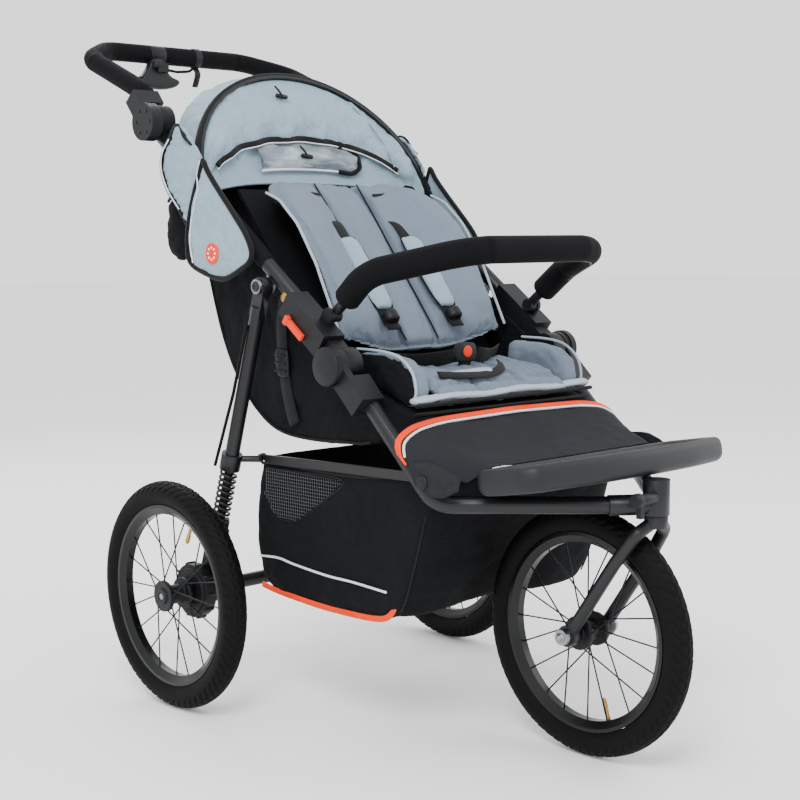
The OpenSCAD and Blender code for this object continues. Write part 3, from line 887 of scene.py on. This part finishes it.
def hood_lining():
    columns, steps = 96, 30
    rows = [[lining_point(pi * k / columns, i / steps) for k in range(columns + 1)]
            for i in range(steps + 1)]
    made = piece("hood_lining", *grid(rows), "hood", None)
    soften(made, 1, thickness=1.2)
    wrinkle(made, 38, 7.0, (1, 1, 0.6), 8.2,
            lambda co: min(1, max(0, (0.985 - co.z) / 0.03)) * min(1, max(0.1, (co.z - 0.83) / 0.03)))
    blend_hood(made)
    zip_line = [lining_point(radians(a), 0.56) for a in range(28, 158, 5)]
    zip_line = [(x, y - 6, z) for x, y, z in zip_line]
    zipper = sweep("hood_zip", spline(zip_line, 70), flat(9, 3.0), "binding", None,
                   level=(0, 0.3, 0.95))
    blend_hood(zipper)
    silver = tape("hood_zip_piping", [(x, y - 1.5, z - 5.5) for x, y, z in zip_line], 1.1, "silver", None, 70)
    blend_hood(silver)
    hem = [lining_point(radians(a), 0.995) for a in range(14, 170, 6)]
    hem = tape("hood_hem", [(x, y - 1, z) for x, y, z in hem], 2.6, "hood", None, 80)
    blend_hood(hem)
    seam = [lining_point(radians(a), t) for a, t in ((58, 0.02), (48, 0.12), (38, 0.3), (31, 0.5),
                                                     (26, 0.66))]
    seam = tape("hood_seam", [(x - 1, y - 4, z) for x, y, z in seam], 1.4, "hood", None, 40)
    blend_hood(seam)


def hood_window():
    """The clear pocket below the zip, with its bound edge, a painted highlight strip along its lower edge and
    a toggle inside.
    """
    columns, steps = 40, 12
    a0, a1 = radians(117), radians(58)
    rows = []
    for i in range(steps + 1):
        t = 0.6 + 0.27 * i / steps
        row = []
        for k in range(columns + 1):
            x, y, z = lining_point(a0 + (a1 - a0) * k / columns, t)
            belly = 13 * sin(pi * i / steps) * (0.5 + 0.5 * sin(pi * k / columns))
            row.append((x, y - 7 - belly, z))
        rows.append(row)
    made = piece("hood_window", *grid(rows), "film", None)
    soften(made, 1, thickness=0.6)
    wrinkle(made, 40, 4.5, (0.6, 1, 1.8), 1.7)
    blend_hood(made)
    edge = [rows[0][-8], rows[0][-4]] + [row[-1] for row in rows[3:-2:3]] + [rows[-1][-4], rows[-1][-9]]
    bound = tape("window_binding", [(x, y - 2.5, z) for x, y, z in edge], 4.0, "binding", None, 60)
    blend_hood(bound)
    # a pale silver strip along the window's lower edge: a painted highlight, not a real hem
    window_highlight = tape("window_edge_strip", [(x, y - 1.5, z) for x, y, z in rows[-1][:-8:4]], 2.2, "silver", None, 60)
    blend_hood(window_highlight)
    x, y, z = lining_point(radians(92), 0.74)
    toggle("window_toggle", (x + 4, y - 25, z))
    x, y, z = lining_point(radians(97), 0.1)
    toggle("hood_toggle", (x - 4, y - 16, z - 8))


def toggle(name, place):
    """A bar toggle on its loop."""
    x, y, z = place
    bar = turned(name, (x - 12, y, z), (1, 0, -0.1), [(1.8, 0), (3.6, 2), (3.9, 12), (3.6, 22), (1.8, 24)],
                 "plastic", None, 16)
    blend_hood(bar)
    loop = [(x - 7, y + 8, z + 15), (x - 4, y + 1, z + 7), (x - 2, y - 2.5, z), (x + 1, y + 2, z - 4)]
    cord = tape(name + "_loop", loop, 1.6, "strap", None, 16)
    blend_hood(cord)


def rim_path():
    """The bound front edge of the hood, from the left side over the top to the right."""
    return [half_oval(CANOPY, HOOD_ANGLE, 236, 219, radians(a)) for a in range(2, 179, 4)]


def hood_trim():
    rim = rim_path()
    section = [(-6.5, -1.5), (-5.5, -4), (0, -5.2), (5.5, -4), (6.5, -1.5), (6.5, 1.5), (5, 3.4), (0, 4),
               (-5, 3.4),
               (-6.5, 1.5)]
    made = sweep("hood_rim", spline(rim, 120), section, "binding", "canopy", level=(0, 0.88, -0.47))
    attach(made, "canopy")
    for label, sign in SIDES:
        path = [(sign * 234, 600, 869), (sign * 233, 640, 898), (sign * 222, 684, 862),
                (sign * 222, 680, 836)]
        strap(f"hood_stay_{label}", path, 16, 2.2, (sign * 0.2, 0.7, 0.7), "upper_frame")


def panel(name, front, rear, x, bulge, material, sign, body):
    """A side panel between two edges given as (y, z) points, swelling outwards in the middle."""
    count, steps = 18, 16
    front = spline([(0, *p) for p in front], count)
    rear = spline([(0, *p) for p in rear], count)
    rows = []
    for i, (f, r) in enumerate(zip(front, rear)):
        row = []
        for k in range(steps + 1):
            t = k / steps
            out = x + bulge * sin(pi * t) ** 0.7 * sin(pi * (i + 0.5) / count) ** 0.7
            row.append((sign * out, f.y + (r.y - f.y) * t, f.z + (r.z - f.z) * t))
        rows.append(row)
    made = piece(name, *grid(rows), material, body)
    return soften(made, 1, thickness=2.0)


LOBE_FRONT = [(470, 682), (450, 694), (447, 710), (462, 735), (490, 764), (525, 798), (552, 826), (563, 842)]
LOBE_REAR = [(515, 666), (560, 672), (604, 690), (611, 722), (604, 760), (588, 800), (574, 826), (566, 844)]
GATHER_FRONT = [(600, 742), (594, 774), (578, 812), (572, 842), (592, 868), (618, 892), (636, 900)]
GATHER_REAR = [(612, 742), (638, 772), (668, 802), (684, 832), (682, 858), (662, 880), (640, 902)]


def canopy_side(sign):
    label = "left" if sign > 0 else "right"
    made = panel(f"side_lobe_{label}", LOBE_FRONT, LOBE_REAR, 237, 7, "hood", sign, "upper_frame")
    wrinkle(made, 40, 3.0, seed=5.0 + sign)
    if sign > 0:
        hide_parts("canopy_sides")
    gather = panel(f"side_gather_{label}", GATHER_FRONT, GATHER_REAR, 231, 8, "hood", sign, "upper_frame")
    wrinkle(gather, 26, 6.0, (1, 0.5, 1.6), seed=2.0 + sign)
    x = 239
    edge = LOBE_REAR[-1::-1] + LOBE_FRONT
    path = [(sign * x, y, z) for y, z in edge]
    tape(f"lobe_binding_{label}", path, 4.2, "binding", "upper_frame", 110)
    inner = [(sign * (x + 3.4), y + 7 * (1 if y < 575 else -1) - 4, z) for y, z in LOBE_REAR[2:]]
    tape(f"lobe_piping_{label}", inner, 1.2, "silver", "upper_frame", 50)
    path = [(sign * 234, y, z) for y, z in GATHER_REAR]
    tape(f"gather_binding_{label}", path, 3.6, "binding", "upper_frame", 60)
    path = [(sign * 238, y - 3, z + 1) for y, z in GATHER_REAR[1:-1]]
    tape(f"gather_piping_{label}", path, 1.2, "silver", "upper_frame", 50)
    badge(label, sign)
    pocket(label, sign)


def badge(label, sign):
    """A plain round badge with a ring of dots on it."""
    centre = (sign * 243.5, 539, 704)
    turned(f"badge_{label}", centre, (sign, 0, 0), [(15.5, -1.5), (16.5, 0), (16.2, 1.4), (14.5, 2.0),
                                                    (1, 2.1)],
           "orange_tape", "upper_frame", 48)
    for k in range(8):
        a = tau * k / 8
        spot = (centre[0] + sign * 1.6, centre[1] + 9 * cos(a), centre[2] + 9 * sin(a))
        turned(f"badge_dot_{label}_{k}", spot, (sign, 0, 0), [(1.9, -0.5), (1.9, 0.7), (1.2, 1.0)], "white",
               "upper_frame", 14)


def pocket(label, sign):
    """The black pocket behind the side panel, by the tube."""
    rows = []
    for y, z0, z1, depth in ((640, 700, 782, 3), (656, 692, 792, 12), (676, 692, 794, 15),
                             (692, 702, 788, 11),
                             (699, 712, 780, 3)):
        ring = []
        for k in range(16):
            a = tau * k / 16
            ring.append((sign * (212 + depth * cos(a)), y,
                         (z0 + z1) / 2 + (z1 - z0) / 2 * sharp(sin(a), 0.6)))
        rows.append(ring)
    made = piece(f"side_pocket_{label}", *grid(rows, closed=True, capped=True), "shell", "upper_frame")
    soften(made, 2)
    wrinkle(made, 22, 3.5, seed=7 + sign)
    tape(f"pocket_hem_{label}", [(sign * 214, 642, 784), (sign * 224, 666, 797), (sign * 216, 696, 786)], 2.4,
         "binding", "upper_frame", 24)


# ---- seat ----
def back_place(x, distance, lift):
    return (x, *on_back(distance, lift))


def distance_on_back(p):
    return (p.y - BACK_FOOT[0]) * cos(BACK_ANGLE) + (p.z - BACK_FOOT[1]) * sin(BACK_ANGLE)


def wing_lift(distance):
    """How far the wings stand forward of the back, up along it."""
    return float(np.interp(distance, [0, 84, 140, 213, 270, 320, 352], [14, 33, 46, 52, 42, 12, 2]))


LINER_HALF = 170


def end_round(share):
    """Full in the middle of the back's length, nothing at its two ends."""
    return 1 - smooth(abs(2 * share - 1)) ** 8


def wing_rise(x, distance):
    return wing_lift(distance) * smooth((abs(x) - 50) / 120) ** 0.95


def liner_depth(x):
    return 25 - 13 * smooth((abs(x) - 60) / 100)


def make_backrest():
    columns, steps, half = 44, 34, LINER_HALF
    rows = []
    for i in range(steps + 1):
        share = i / steps
        front, back = [], []
        for k in range(columns + 1):
            x = -half + 2 * half * k / columns
            edge = max(0.0, (abs(x) - 105) / (half - 105))
            top = BACK_LENGTH + 2 - 66 * edge ** 2.4
            foot = 10 + 10 * edge
            distance = foot + (top - foot) * share
            rise = wing_rise(x, distance)
            plump = 13 * sin(pi * min(max((abs(x) - 38) / 125, 0), 1)) ** 0.8
            plump += 5 * cos(pi / 2 * min(abs(x) / 36, 1)) * end_round(share)
            end = end_round(share)
            depth = liner_depth(x)
            front.append(back_place(x, distance, -5 + rise + plump * end - (1 - end) * depth * 0.25))
            back.append(back_place(x, distance, -5 + rise - depth + (1 - end) * depth * 0.25))
        rows.append(front + back[::-1])
    made = piece("backrest_liner", *grid(rows, closed=True, capped=True), "liner", None)
    inflate(made, 7)

    def seam_x(distance):
        return 33 + 12 * distance / BACK_LENGTH

    facing = (0, -sin(BACK_ANGLE), cos(BACK_ANGLE))
    seams(made, lambda p: abs(p.x) - seam_x(distance_on_back(p)), 12, 5, facing)
    seams(made, lambda p: distance_on_back(p) - 18, 4, 6, facing)
    wrinkle(made, 44, 3.0, (1, 0.5, 0.5), 2.2)
    wrinkle(made, 15, 1.6, (1.6, 0.3, 0.3), 4.4,
            lambda co: 1.0 if distance_on_back(Vector((co.x, co.y - FRONT_Y,
                                                       co.z)) / MM) > 285 and abs(co.x) < 0.06
            else 0.25)
    made.data.materials.append(M["shell"])
    for face in made.data.polygons:
        p = Vector((face.center.x, face.center.y - FRONT_Y, face.center.z)) / MM
        lift = (p.z - BACK_FOOT[1]) * cos(BACK_ANGLE) - (p.y - BACK_FOOT[0]) * sin(BACK_ANGLE)
        outside = lift < -5 + wing_rise(p.x, distance_on_back(p)) - liner_depth(p.x) * 0.6
        face.material_index = 1 if outside else 0
    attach(made, "backrest")
    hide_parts("backrest_pad", "backrest_wings")
    for label, sign in SIDES:
        edge = []
        for share in np.linspace(0.04, 0.985, 18):
            distance = 20 + (BACK_LENGTH - 50 - 20) * share
            edge.append(back_place(sign * 173, distance, wing_lift(distance) - 6))
        tape(f"wing_piping_{label}", edge, 2.2, "liner_light", "backrest", 60)
        slit = [back_place(sign * (68 + dx), 306, 9 + 0.12 * (dx + 14)) for dx in (-14, -5, 5, 14)]
        strap(f"harness_slot_{label}", slit, 5, 1.6, (0, cos(BACK_ANGLE), sin(BACK_ANGLE)), "backrest",
              count=10)
        line = [back_place(sign * seam_x(d), d, -2 + lift) for d, lift in
                ((24, 0), (60, 1), (130, 1), (200, 1), (270, 1), (338, 0))]
        tape(f"back_seam_{label}", line, 1.3, "strap", "backrest", 60, slot="liner_fabric")
        shoulder_pad(label, sign)


def shoulder_pad(label, sign):
    """A padded sleeve on the shoulder strap, and the strap above and below it."""
    x = sign * 66
    path = [back_place(x, d, lift) for d, lift in
            ((254, 5), (240, 15), (205, 17), (120, 17), (60, 17), (30, 18))]
    strap(f"shoulder_strap_{label}", path, 26, 2.4, (1, 0, 0), "backrest", count=40)
    rows = []
    for distance, width, depth in ((208, 15, 3), (204, 18.5, 6), (190, 20, 8.5), (140, 21, 9), (92, 20, 9),
                                   (74, 18, 7), (68, 15, 3)):
        ring = []
        for k in range(20):
            a = tau * k / 20
            ring.append(back_place(x + width * sharp(cos(a), 0.7), distance,
                                   20 + depth * sharp(sin(a), 0.8)))
        rows.append(ring)
    made = piece(f"shoulder_pad_{label}", *grid(rows, closed=True, capped=True), "hood", None)
    inflate(made, 3, voxel=4)
    wrinkle(made, 20, 1.4, seed=sign)
    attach(made, "backrest")
    if sign > 0:
        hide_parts("shoulder_straps")
    for side in (-1, 1):
        edge = [back_place(x + side * width, distance, 20) for distance, width in
                ((206, 17), (190, 20.5), (140, 21.5), (92, 20.5), (70, 16))]
        tape(f"pad_edge_{label}_{'in' if side * sign < 0 else 'out'}", edge, 1.7, "binding", "backrest", 30)
    # the buckle that joins the shoulder and waist straps
    turned(f"adjuster_{label}", back_place(x, 50, 21), (0, cos(BACK_ANGLE), sin(BACK_ANGLE)),
           [(10, -9), (13, -6), (13, 6), (10, 9)], "plastic", "backrest", 20)


def make_seat():
    # the black base under the pads
    rows = []
    for x, inset in ((-182, 10), (-180, 3), (-174, 0), (-60, 0), (60, 0), (174, 0), (180, 3), (182, 10)):
        side = [(153, 449), (150, 467), (152, 484), (172, 484), (230, 504), (280, 519), (286, 500),
                (282, 454),
                (220, 451)]
        middle = (218, 480)
        rows.append([(x, y + (middle[0] - y) * inset / 60, z + (middle[1] - z) * inset / 40) for y,
                     z in side])
    made = piece("seat_base_cover", *grid(rows, closed=True, capped=True), "shell", "chassis")
    soften(made, 2)
    wrinkle(made, 30, 3.0, seed=1.5)
    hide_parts("seat_base")
    for k, z in enumerate((484, 468)):
        path = [(x, 151.5 + (abs(x) / 182) ** 6 * 4, z) for x in range(-180, 181, 20)]
        tape(f"base_welt_{k}", path, 2.4, "binding", "chassis", 60)
    # the seat pad
    top = [(154, 500), (163, 509), (182, 519), (212, 529), (240, 534), (275, 537), (300, 541)]
    rows = []
    for x in np.linspace(-133, 133, 25):
        dip = 4 * (1 - (x / 133) ** 2)
        low_side = [(y, z - 15) for y, z in reversed(top)]
        low_side = [(y, max(z, 488 + 0.32 * (y - 172))) for y, z in low_side]
        rows.append([(x, y, z - dip * smooth((y - 170) / 60)) for y, z in top + low_side])
    made = piece("seat_cushion", *grid(rows, closed=True, capped=True), "liner", None)
    inflate(made, 6)
    seams(made, lambda p: p.y - 176, 5, 4.5, (0, 0, 1))
    seams(made, lambda p: abs(p.x) - 46, 5, 4.5, (0, 0, 1))
    wrinkle(made, 18, 2.4, (1.3, 0.5, 1), 6.6)
    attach(made, "chassis")
    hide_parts("seat_pad")
    # its front edge, which runs out over the bolsters' feet
    front = []
    for x in np.linspace(-181, 181, 29):
        ring = []
        for k in range(12):
            a = tau * k / 12
            ring.append((x, 162 + 12 * cos(a), 503 + 6.0 * sin(a) + 1.5 * sin(x / 22)))
        front.append(ring)
    made = piece("seat_front_roll", *grid(front, closed=True, capped=True), "liner_light", "chassis")
    soften(made, 1)
    wrinkle(made, 30, 2.0, seed=9)
    path = [(x, 151.5, 496) for x in range(-182, 183, 14)]
    tape("seat_front_binding", path, 3.0, "binding", "chassis", 70)
    for label, sign in SIDES:
        bolster(label, sign)


def bolster(label, sign):
    side = [(168, 492), (164, 515), (172, 540), (196, 557), (230, 563), (286, 564), (294, 556), (292, 540),
            (285, 520), (230, 503), (190, 492)]
    centre = (228, 528)
    rows = []
    for x, inset in ((140, 0.16), (143, 0.04), (156, 0), (169, 0.04), (172, 0.16)):
        rows.append([(sign * x, y + (centre[0] - y) * inset, z + (centre[1] - z) * inset) for y, z in side])
    made = piece(f"bolster_{label}", *grid(rows, closed=True, capped=True), "liner", None)
    inflate(made, 6)
    wrinkle(made, 34, 2.4, seed=3 * sign)
    made.data.materials.append(M["shell"])
    for face in made.data.polygons:
        face.material_index = 1 if face.normal.x * sign > 0.55 else 0
    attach(made, "chassis")
    if sign > 0:
        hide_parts("seat_bolsters")
    path = [(sign * 173, y, z) for y, z in ((168, 500), (163, 516), (171, 541), (196, 560), (232, 567),
                                            (286, 568))]
    tape(f"bolster_piping_{label}", path, 2.0, "liner_light", "chassis", 40)


def make_harness():
    """The crotch strap and its buckle, and the waist straps lying on the pad."""
    low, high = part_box("crotch_buckle")
    y = ((low.y + high.y) / 2 - FRONT_Y) / MM
    rows = []
    for z, w, t in ((541, 15, 4), (543, 22, 5.2), (556, 24, 5.5), (566, 22, 5.2), (571, 15, 4)):
        rows.append([(w * sharp(cos(a), 0.6),
                      y + t * sharp(sin(a), 0.6), z)
                     for a in (tau * k / 20 for k in range(20))])
    made = piece("harness_buckle", *grid(rows, closed=True, capped=True), "plastic", "chassis")
    soften(made, 1)
    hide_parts("crotch_buckle")
    turned("buckle_button", (0, y - 6, 557), (0, -1, 0), [(9, -1), (9, 0.6), (7.5, 1.8), (2, 2.2)], "orange",
           "chassis", 28)
    strap("crotch_strap", [(0, y + 2, 536), (0, y, 540), (0, y, 545)], 26, 3, (1, 0, 0), "chassis", count=8)
    for label, sign in SIDES:
        path = [(sign * 22, y, 552), (sign * 46, y + 6, 548), (sign * 80, y + 26, 545),
                (sign * 118, y + 48, 549)]
        strap(f"waist_strap_{label}", path, 24, 2.6, (0, -0.4, 0.9), "chassis", count=24)
    rows = []
    for x, w, t in ((-96, 9, 2), (-90, 13, 5), (-60, 15, 6.5), (-20, 15, 6.5), (6, 13, 5), (12, 9, 2)):
        rows.append([(x, 196 + w * cos(a), 529 + t * sin(a) + 0.04 * (x + 40))
                     for a in (tau * k / 16 for k in range(16))])
    made = piece("waist_pad", *grid(rows, closed=True, capped=True), "liner_light", "chassis")
    soften(made, 2)
    wrinkle(made, 16, 1.2, seed=2)
    path = [(-104, 190, 532), (-60, 180, 529), (-10, 180, 528), (24, 190, 534), (40, 208, 541)]
    strap("waist_pad_strap", path, 14, 2.4, (0, 0.8, 0.6), "chassis", count=30)


# ---- fabric tub, basket and apron ----
SLING = [(205, 452), (250, 436), (300, 433), (364, 430), (430, 433), (473, 445), (512, 470), (541, 498),
         (566, 530),
         (590, 574), (608, 620), (622, 662), (636, 700), (650, 742), (664, 800), (676, 850)]


def make_sling():
    """The shell behind the seat: it hangs from both side tubes and follows the tub's outline below."""
    bottom = spline([(0, *p) for p in SLING], 40)
    rows = []
    for i, foot in enumerate(bottom):
        t = i / 39
        hang = on_tube(-60 + 530 * t, -6)
        if t < 0.2:
            hang = (max(hang[0], 236 + 250 * t), max(hang[1], 500 + 380 * t))
        side = []
        for k in range(9):
            s = k / 8
            belly = 3 * sin(pi * s)
            side.append((187 + belly, hang[0] + (foot.y - hang[0]) * s ** 1.05,
                         hang[1] + (foot.z - hang[1]) * s))
        y, z = foot.y, foot.z
        corner = [(186, y, z - 0.5), (176, y + 1, z - 3)]
        middle = [(x, y + 1, z - 3 - 4 * cos(x / 170 * pi / 2)) for x in (140, 95, 48)]
        half = side + corner + middle
        rows.append(half + [(0, y + 1, z - 7)] + [(-x, b, c) for x, b, c in reversed(half)])
    made = piece("seat_tub", *grid(rows), "shell", "upper_frame")
    soften(made, 1, thickness=2.4)
    wrinkle(made, 60, 5.0, (0.6, 1, 1), 1.1)
    wrinkle(made, 24, 2.0, (0.5, 1, 1.4), 5.1)
    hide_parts("seat_sling")
    for label, sign in SIDES:
        path = [(sign * 189, p.y, p.z) for p in bottom[2:]]
        tape(f"tub_welt_{label}", path, 2.2, "binding", "upper_frame", 80)
        recline_strap(label, sign)
        # the sleeve of cloth round the side tube
        path = [(sign * TUBE_X, *on_tube(d)) for d in (182, 260, 340, 420, 470)]
        sweep(f"tube_sleeve_{label}", spline(path, 20), circle(TUBE_R + 1.6, 20), "shell", "upper_frame",
              taper=2)


def recline_strap(label, sign):
    """The strap that sets the backrest's angle, with its ladder buckle."""
    x = sign * 196
    path = [(x, 425, 640), (x, 432, 600), (x, 431, 560), (x, 426, 520), (x, 416, 480), (x, 404, 450)]
    strap(f"recline_strap_{label}", path, 24, 2.4, (0, 0.97, 0.25), "upper_frame", count=30)
    rows = []
    for z, w, t in ((562, 12, 2), (560, 15, 4.5), (548, 16, 5), (534, 15, 4.8), (522, 13, 4), (519, 10, 2)):
        rows.append([(x + sign * (2 + t * sin(a)), 429 + (z - 545) * 0.1
                      + w * sharp(cos(a), 0.6), z)
                     for a in (tau * k / 18 for k in range(18))])
    made = piece(f"ladder_buckle_{label}", *grid(rows, closed=True, capped=True), "plastic", "upper_frame")
    soften(made, 1)
    for k, z in enumerate((553, 541, 529)):
        path = [(x + sign * 7.2, 418 + (z - 545) * 0.1, z), (x + sign * 7.6, 429, z),
                (x + sign * 7.2, 440, z)]
        tape(f"buckle_rib_{label}_{k}", path, 1.6, "plastic", "upper_frame", 8)


RIM = [(108, 397), (150, 400), (206, 394), (275, 387), (361, 386), (453, 388), (500, 391)]
FLOOR = [(190, 194), (203, 189), (236, 183.5), (292, 180), (366, 180), (458, 183), (500, 190)]
WINDOW = [(479, 376), (407, 377.5), (300, 377), (333, 348), (375, 322), (409, 302), (456, 303), (482, 335)]
BASKET_X = 190


def inside(point, polygon):
    """Whether a (y, z) point is in an outline."""
    y, z = point
    found = False
    for (y0, z0), (y1, z1) in zip(polygon, polygon[1:] + polygon[:1]):
        if (z0 > z) != (z1 > z) and y < (y1 - y0) * (z - z0) / (z1 - z0) + y0:
            found = not found
    return found


def basket_front(z, x):
    """How far back the front wall stands, hollowed for the front wheel."""
    side = float(np.interp(z, [185, 192, 227, 309, 393], [190, 179, 164, 133, 100]))
    reach = 324 - (z - 170) * 82 / 195
    hollow = -118 + sqrt(max(reach * reach - x * x, 0))
    return max(side, hollow + 3)


def make_basket():
    levels = 26
    rows = []
    for i in range(levels + 1):
        t = i / levels
        ring = []

        def height(y):
            top = float(np.interp(y, [p[0] for p in RIM], [p[1] for p in RIM]))
            floor = float(np.interp(y, [p[0] for p in FLOOR], [p[1] for p in FLOOR]))
            return top + (floor - top) * t

        rear = 498 + 12 * sin(pi * t) ** 0.8 - 10 * smooth((t - 0.9) / 0.1)
        bow = BASKET_X - 1.5 + 2.5 * sin(pi * t) - 6 * smooth((t - 0.92) / 0.08)
        z_front = height(100)
        corner = basket_front(z_front, bow)
        for k in range(33):
            s = k / 32
            y = corner + 8 + (rear - 10 - corner - 8) * (1 - s)
            ring.append((-bow, y, height(y)))
        for k in range(17):
            x = -bow + 6 + (2 * bow - 12) * k / 16
            ring.append((x, basket_front(z_front, x) - (2 if abs(x) < bow - 10 else 0), z_front))
        for k in range(33):
            s = k / 32
            y = corner + 8 + (rear - 10 - corner - 8) * s
            ring.append((bow, y, height(y)))
        for k in range(13):
            x = bow - 8 - (2 * bow - 16) * k / 12
            ring.append((x, rear, height(rear)))
        rows.append(ring)
    for share in (0.85, 0.55, 0.2):
        rows.append([(x * share, 330 + (y - 330) * share, z - 2 * (1 - share)) for x, y, z in rows[levels]])
    points, faces = grid(rows, closed=True, capped=False)
    faces.append(tuple(range(len(points) - len(rows[0]), len(points))))
    kept = []
    for face in faces:
        middle = [sum(points[k][a] for k in face) / len(face) for a in range(3)]
        cut = abs(middle[0]) > BASKET_X - 8 and inside((middle[1], middle[2]), WINDOW)
        if not cut:
            kept.append(face)
    made = piece("basket_bag", points, kept, "shell", "chassis")
    soften(made, 1, thickness=2.0, offset=-1)
    wrinkle(made, 70, 4.0, (0.5, 1, 1), 4.0, lambda co: 0.2 if co.z > 0.375 else 1.0)
    wrinkle(made, 26, 1.2, (1, 1, 0.6), 2.0)
    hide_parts("basket")
    for label, sign in SIDES:
        x = BASKET_X
        tape(f"basket_hem_{label}", [(sign * (x - 1), y, z) for y, z in RIM], 4.5, "binding", "chassis", 60)
        lines = [(549, 239), (496, 237), (451, 240), (410, 236), (335, 231.5), (277, 231.5), (205, 229)]
        lines = [(min(y, 500), z) for y, z in lines[1:]]
        tape(f"basket_silver_{label}", [(sign * (x + 4.6), y, z) for y, z in lines], 1.9, "silver",
             "chassis", 60, slot="apron_fabric")
        trim = [(500, 190), (458, 185), (366, 180.5), (292, 181), (236, 184), (207, 192), (188, 214)]
        trim = [(sign * (x - 2), y, z) for y, z in trim]
        sweep(f"basket_orange_{label}", spline(trim, 60), flat(9, 2.6), "orange_tape", "chassis",
              level=(0, 0.15, 1))
        tape(f"window_edge_strip_{label}", [(sign * (x + 0.8), y, z) for y, z in WINDOW + WINDOW[:1]], 1.6,
             "binding",
             "chassis", 90)
        seam = [(sign * (x + 1), y, z) for y, z in ((118, 372), (140, 300), (163, 232), (176, 206))]
        tape(f"basket_seam_{label}", seam, 1.2, "binding", "chassis", 30)
        basket_net(label, sign)


def basket_net(label, sign):
    """The woven net in the basket's side, as real threads."""
    pitch = 5.2
    points, faces = [], []
    index = {}

    def corner(a, b):
        if (a, b) not in index:
            index[(a, b)] = len(points)
            y, z = 292 + a * pitch, 298 + b * pitch
            points.append((sign * (BASKET_X + 2 + 1.5 * sin((y + z) / 60)), y, z))
        return index[(a, b)]

    for a in range(38):
        for b in range(17):
            if inside((292 + (a + 0.5) * pitch, 298 + (b + 0.5) * pitch), WINDOW):
                faces.append((corner(a, b), corner(a + 1, b), corner(a + 1, b + 1), corner(a, b + 1)))
    made = piece(f"basket_net_{label}", points, faces, "net", "chassis")
    wires = made.modifiers.new("threads", "WIREFRAME")
    wires.thickness = 1.1 * MM
    wires.use_even_offset = False
    settle(made)


def make_apron():
    """The cover from the seat's front edge down to the footrest, drawn over the side tubes."""
    rear = [(-226, 128, 421), (-230, 138, 436), (-224, 144, 453), (-201, 146, 465), (-178, 146, 470),
            (-140, 145, 474),
            (-60, 144, 476), (0, 144, 477)]
    rear = rear + [(-x, y, z) for x, y, z in reversed(rear[:-1])]
    rear = spline(rear, 60)
    front = []
    for p in rear:
        x = p.x * 196 / 230
        front.append(Vector((x, 22 + 22 * smooth((abs(x) - 150) / 60),
                             424 - 20 * smooth((abs(x) - 160) / 40))))
    rows = []
    for i in range(20):
        t = i / 19
        row = []
        for p, q in zip(rear, front):
            x, y, z = mix(tuple(p), tuple(q), t)
            sag = 8 * sin(pi * t) * (1 - (x / 240) ** 2)
            row.append((x, y, z - sag))
        rows.append(row)
    made = piece("apron_sheet", *grid(rows), "apron", "chassis")
    soften(made, 1, thickness=2.2)
    wrinkle(made, 55, 2.2, seed=3.3)
    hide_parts("leg_apron")
    section = flat(9, 3.4)
    band = [p + Vector((0, -1, 1.8)) for p in rear]
    sweep("apron_orange", band, section, "orange_tape", "chassis", level=(0, 0.75, 0.66), taper=1)
    line = [(p.x * 0.985, p.y - 9, p.z - 1.6) for p in rear[2:-2]]
    tape("apron_silver", line, 2.0, "silver", "chassis", 100, slot="apron_fabric")
    for label, sign in SIDES:
        skirt = panel(f"apron_skirt_{label}", [(128, 424), (96, 430), (60, 426), (26, 412)],
                      [(120, 396), (92, 384), (60, 384), (30, 398)], 222, 3, "apron", sign, "chassis")
        wrinkle(skirt, 30, 2.0, seed=4 * sign)
        turned(f"apron_stud_{label}", (sign * 224, *REST_STUD), (sign, 0, 0),
               [(9, -2), (10, 0), (10, 2.5), (8, 4.2), (2, 4.6)], "plastic", "chassis", 30)


def bolts():
    """Screw heads and caps on the hinges, legs and fork."""
    for label, sign in SIDES:
        turned(f"hinge_cap_{label}", (sign * 248, *HINGE), (sign, 0, 0),
               [(27, -3), (28, 0), (27, 3), (24, 4.6), (10, 5.4)], "plastic", "chassis", 56)
        turned(f"leg_screw_{label}", (sign * 245.5, *LEG_PIVOT), (sign, 0, 0),
               [(8, -1), (8, 1.5), (6.4, 2.6), (3.4, 2.7), (3.2, 1.0)], "frame", "rear_legs", 28)
        turned(f"tube_stud_{label}", (sign * 224, *on_tube(113, -8)), (sign, 0, 0),
               [(7, -3), (8, 0), (7, 2.4), (3, 3.0)], "brass", "upper_frame", 24)
        turned(f"fork_nut_{label}", (sign * FORK_SIDE, 0, WHEEL_R), (sign, 0, 0),
               [(7.5, -1), (7.5, 4), (5, 5), (5, 8), (3, 8.5)], "steel", "fork", 6)
        turned(f"axle_nut_{label}", (sign * (REAR_X + 20.5), *AXLE), (sign, 0, 0),
               [(6, -2), (6, 2.2), (4, 3)], "steel", f"wheel_{label}", 6)
    turned("lock_knob", (-50, *LOCK), (-1, 0, 0), [(9.5, -3), (10, 0), (10, 7), (8, 9)], "plastic",
           "swivel_lock", 30)


make_camera()
make_studio()
dress_cad()
make_wheels()
spring("spring_left", 1)
spring("spring_right", -1)
make_footrest()
make_handle()
make_bumper()
hood_outer()
hood_lining()
hood_window()
hood_trim()
canopy_side(1)
canopy_side(-1)
make_backrest()
make_seat()
make_harness()
make_sling()
make_basket()
make_apron()
bolts()
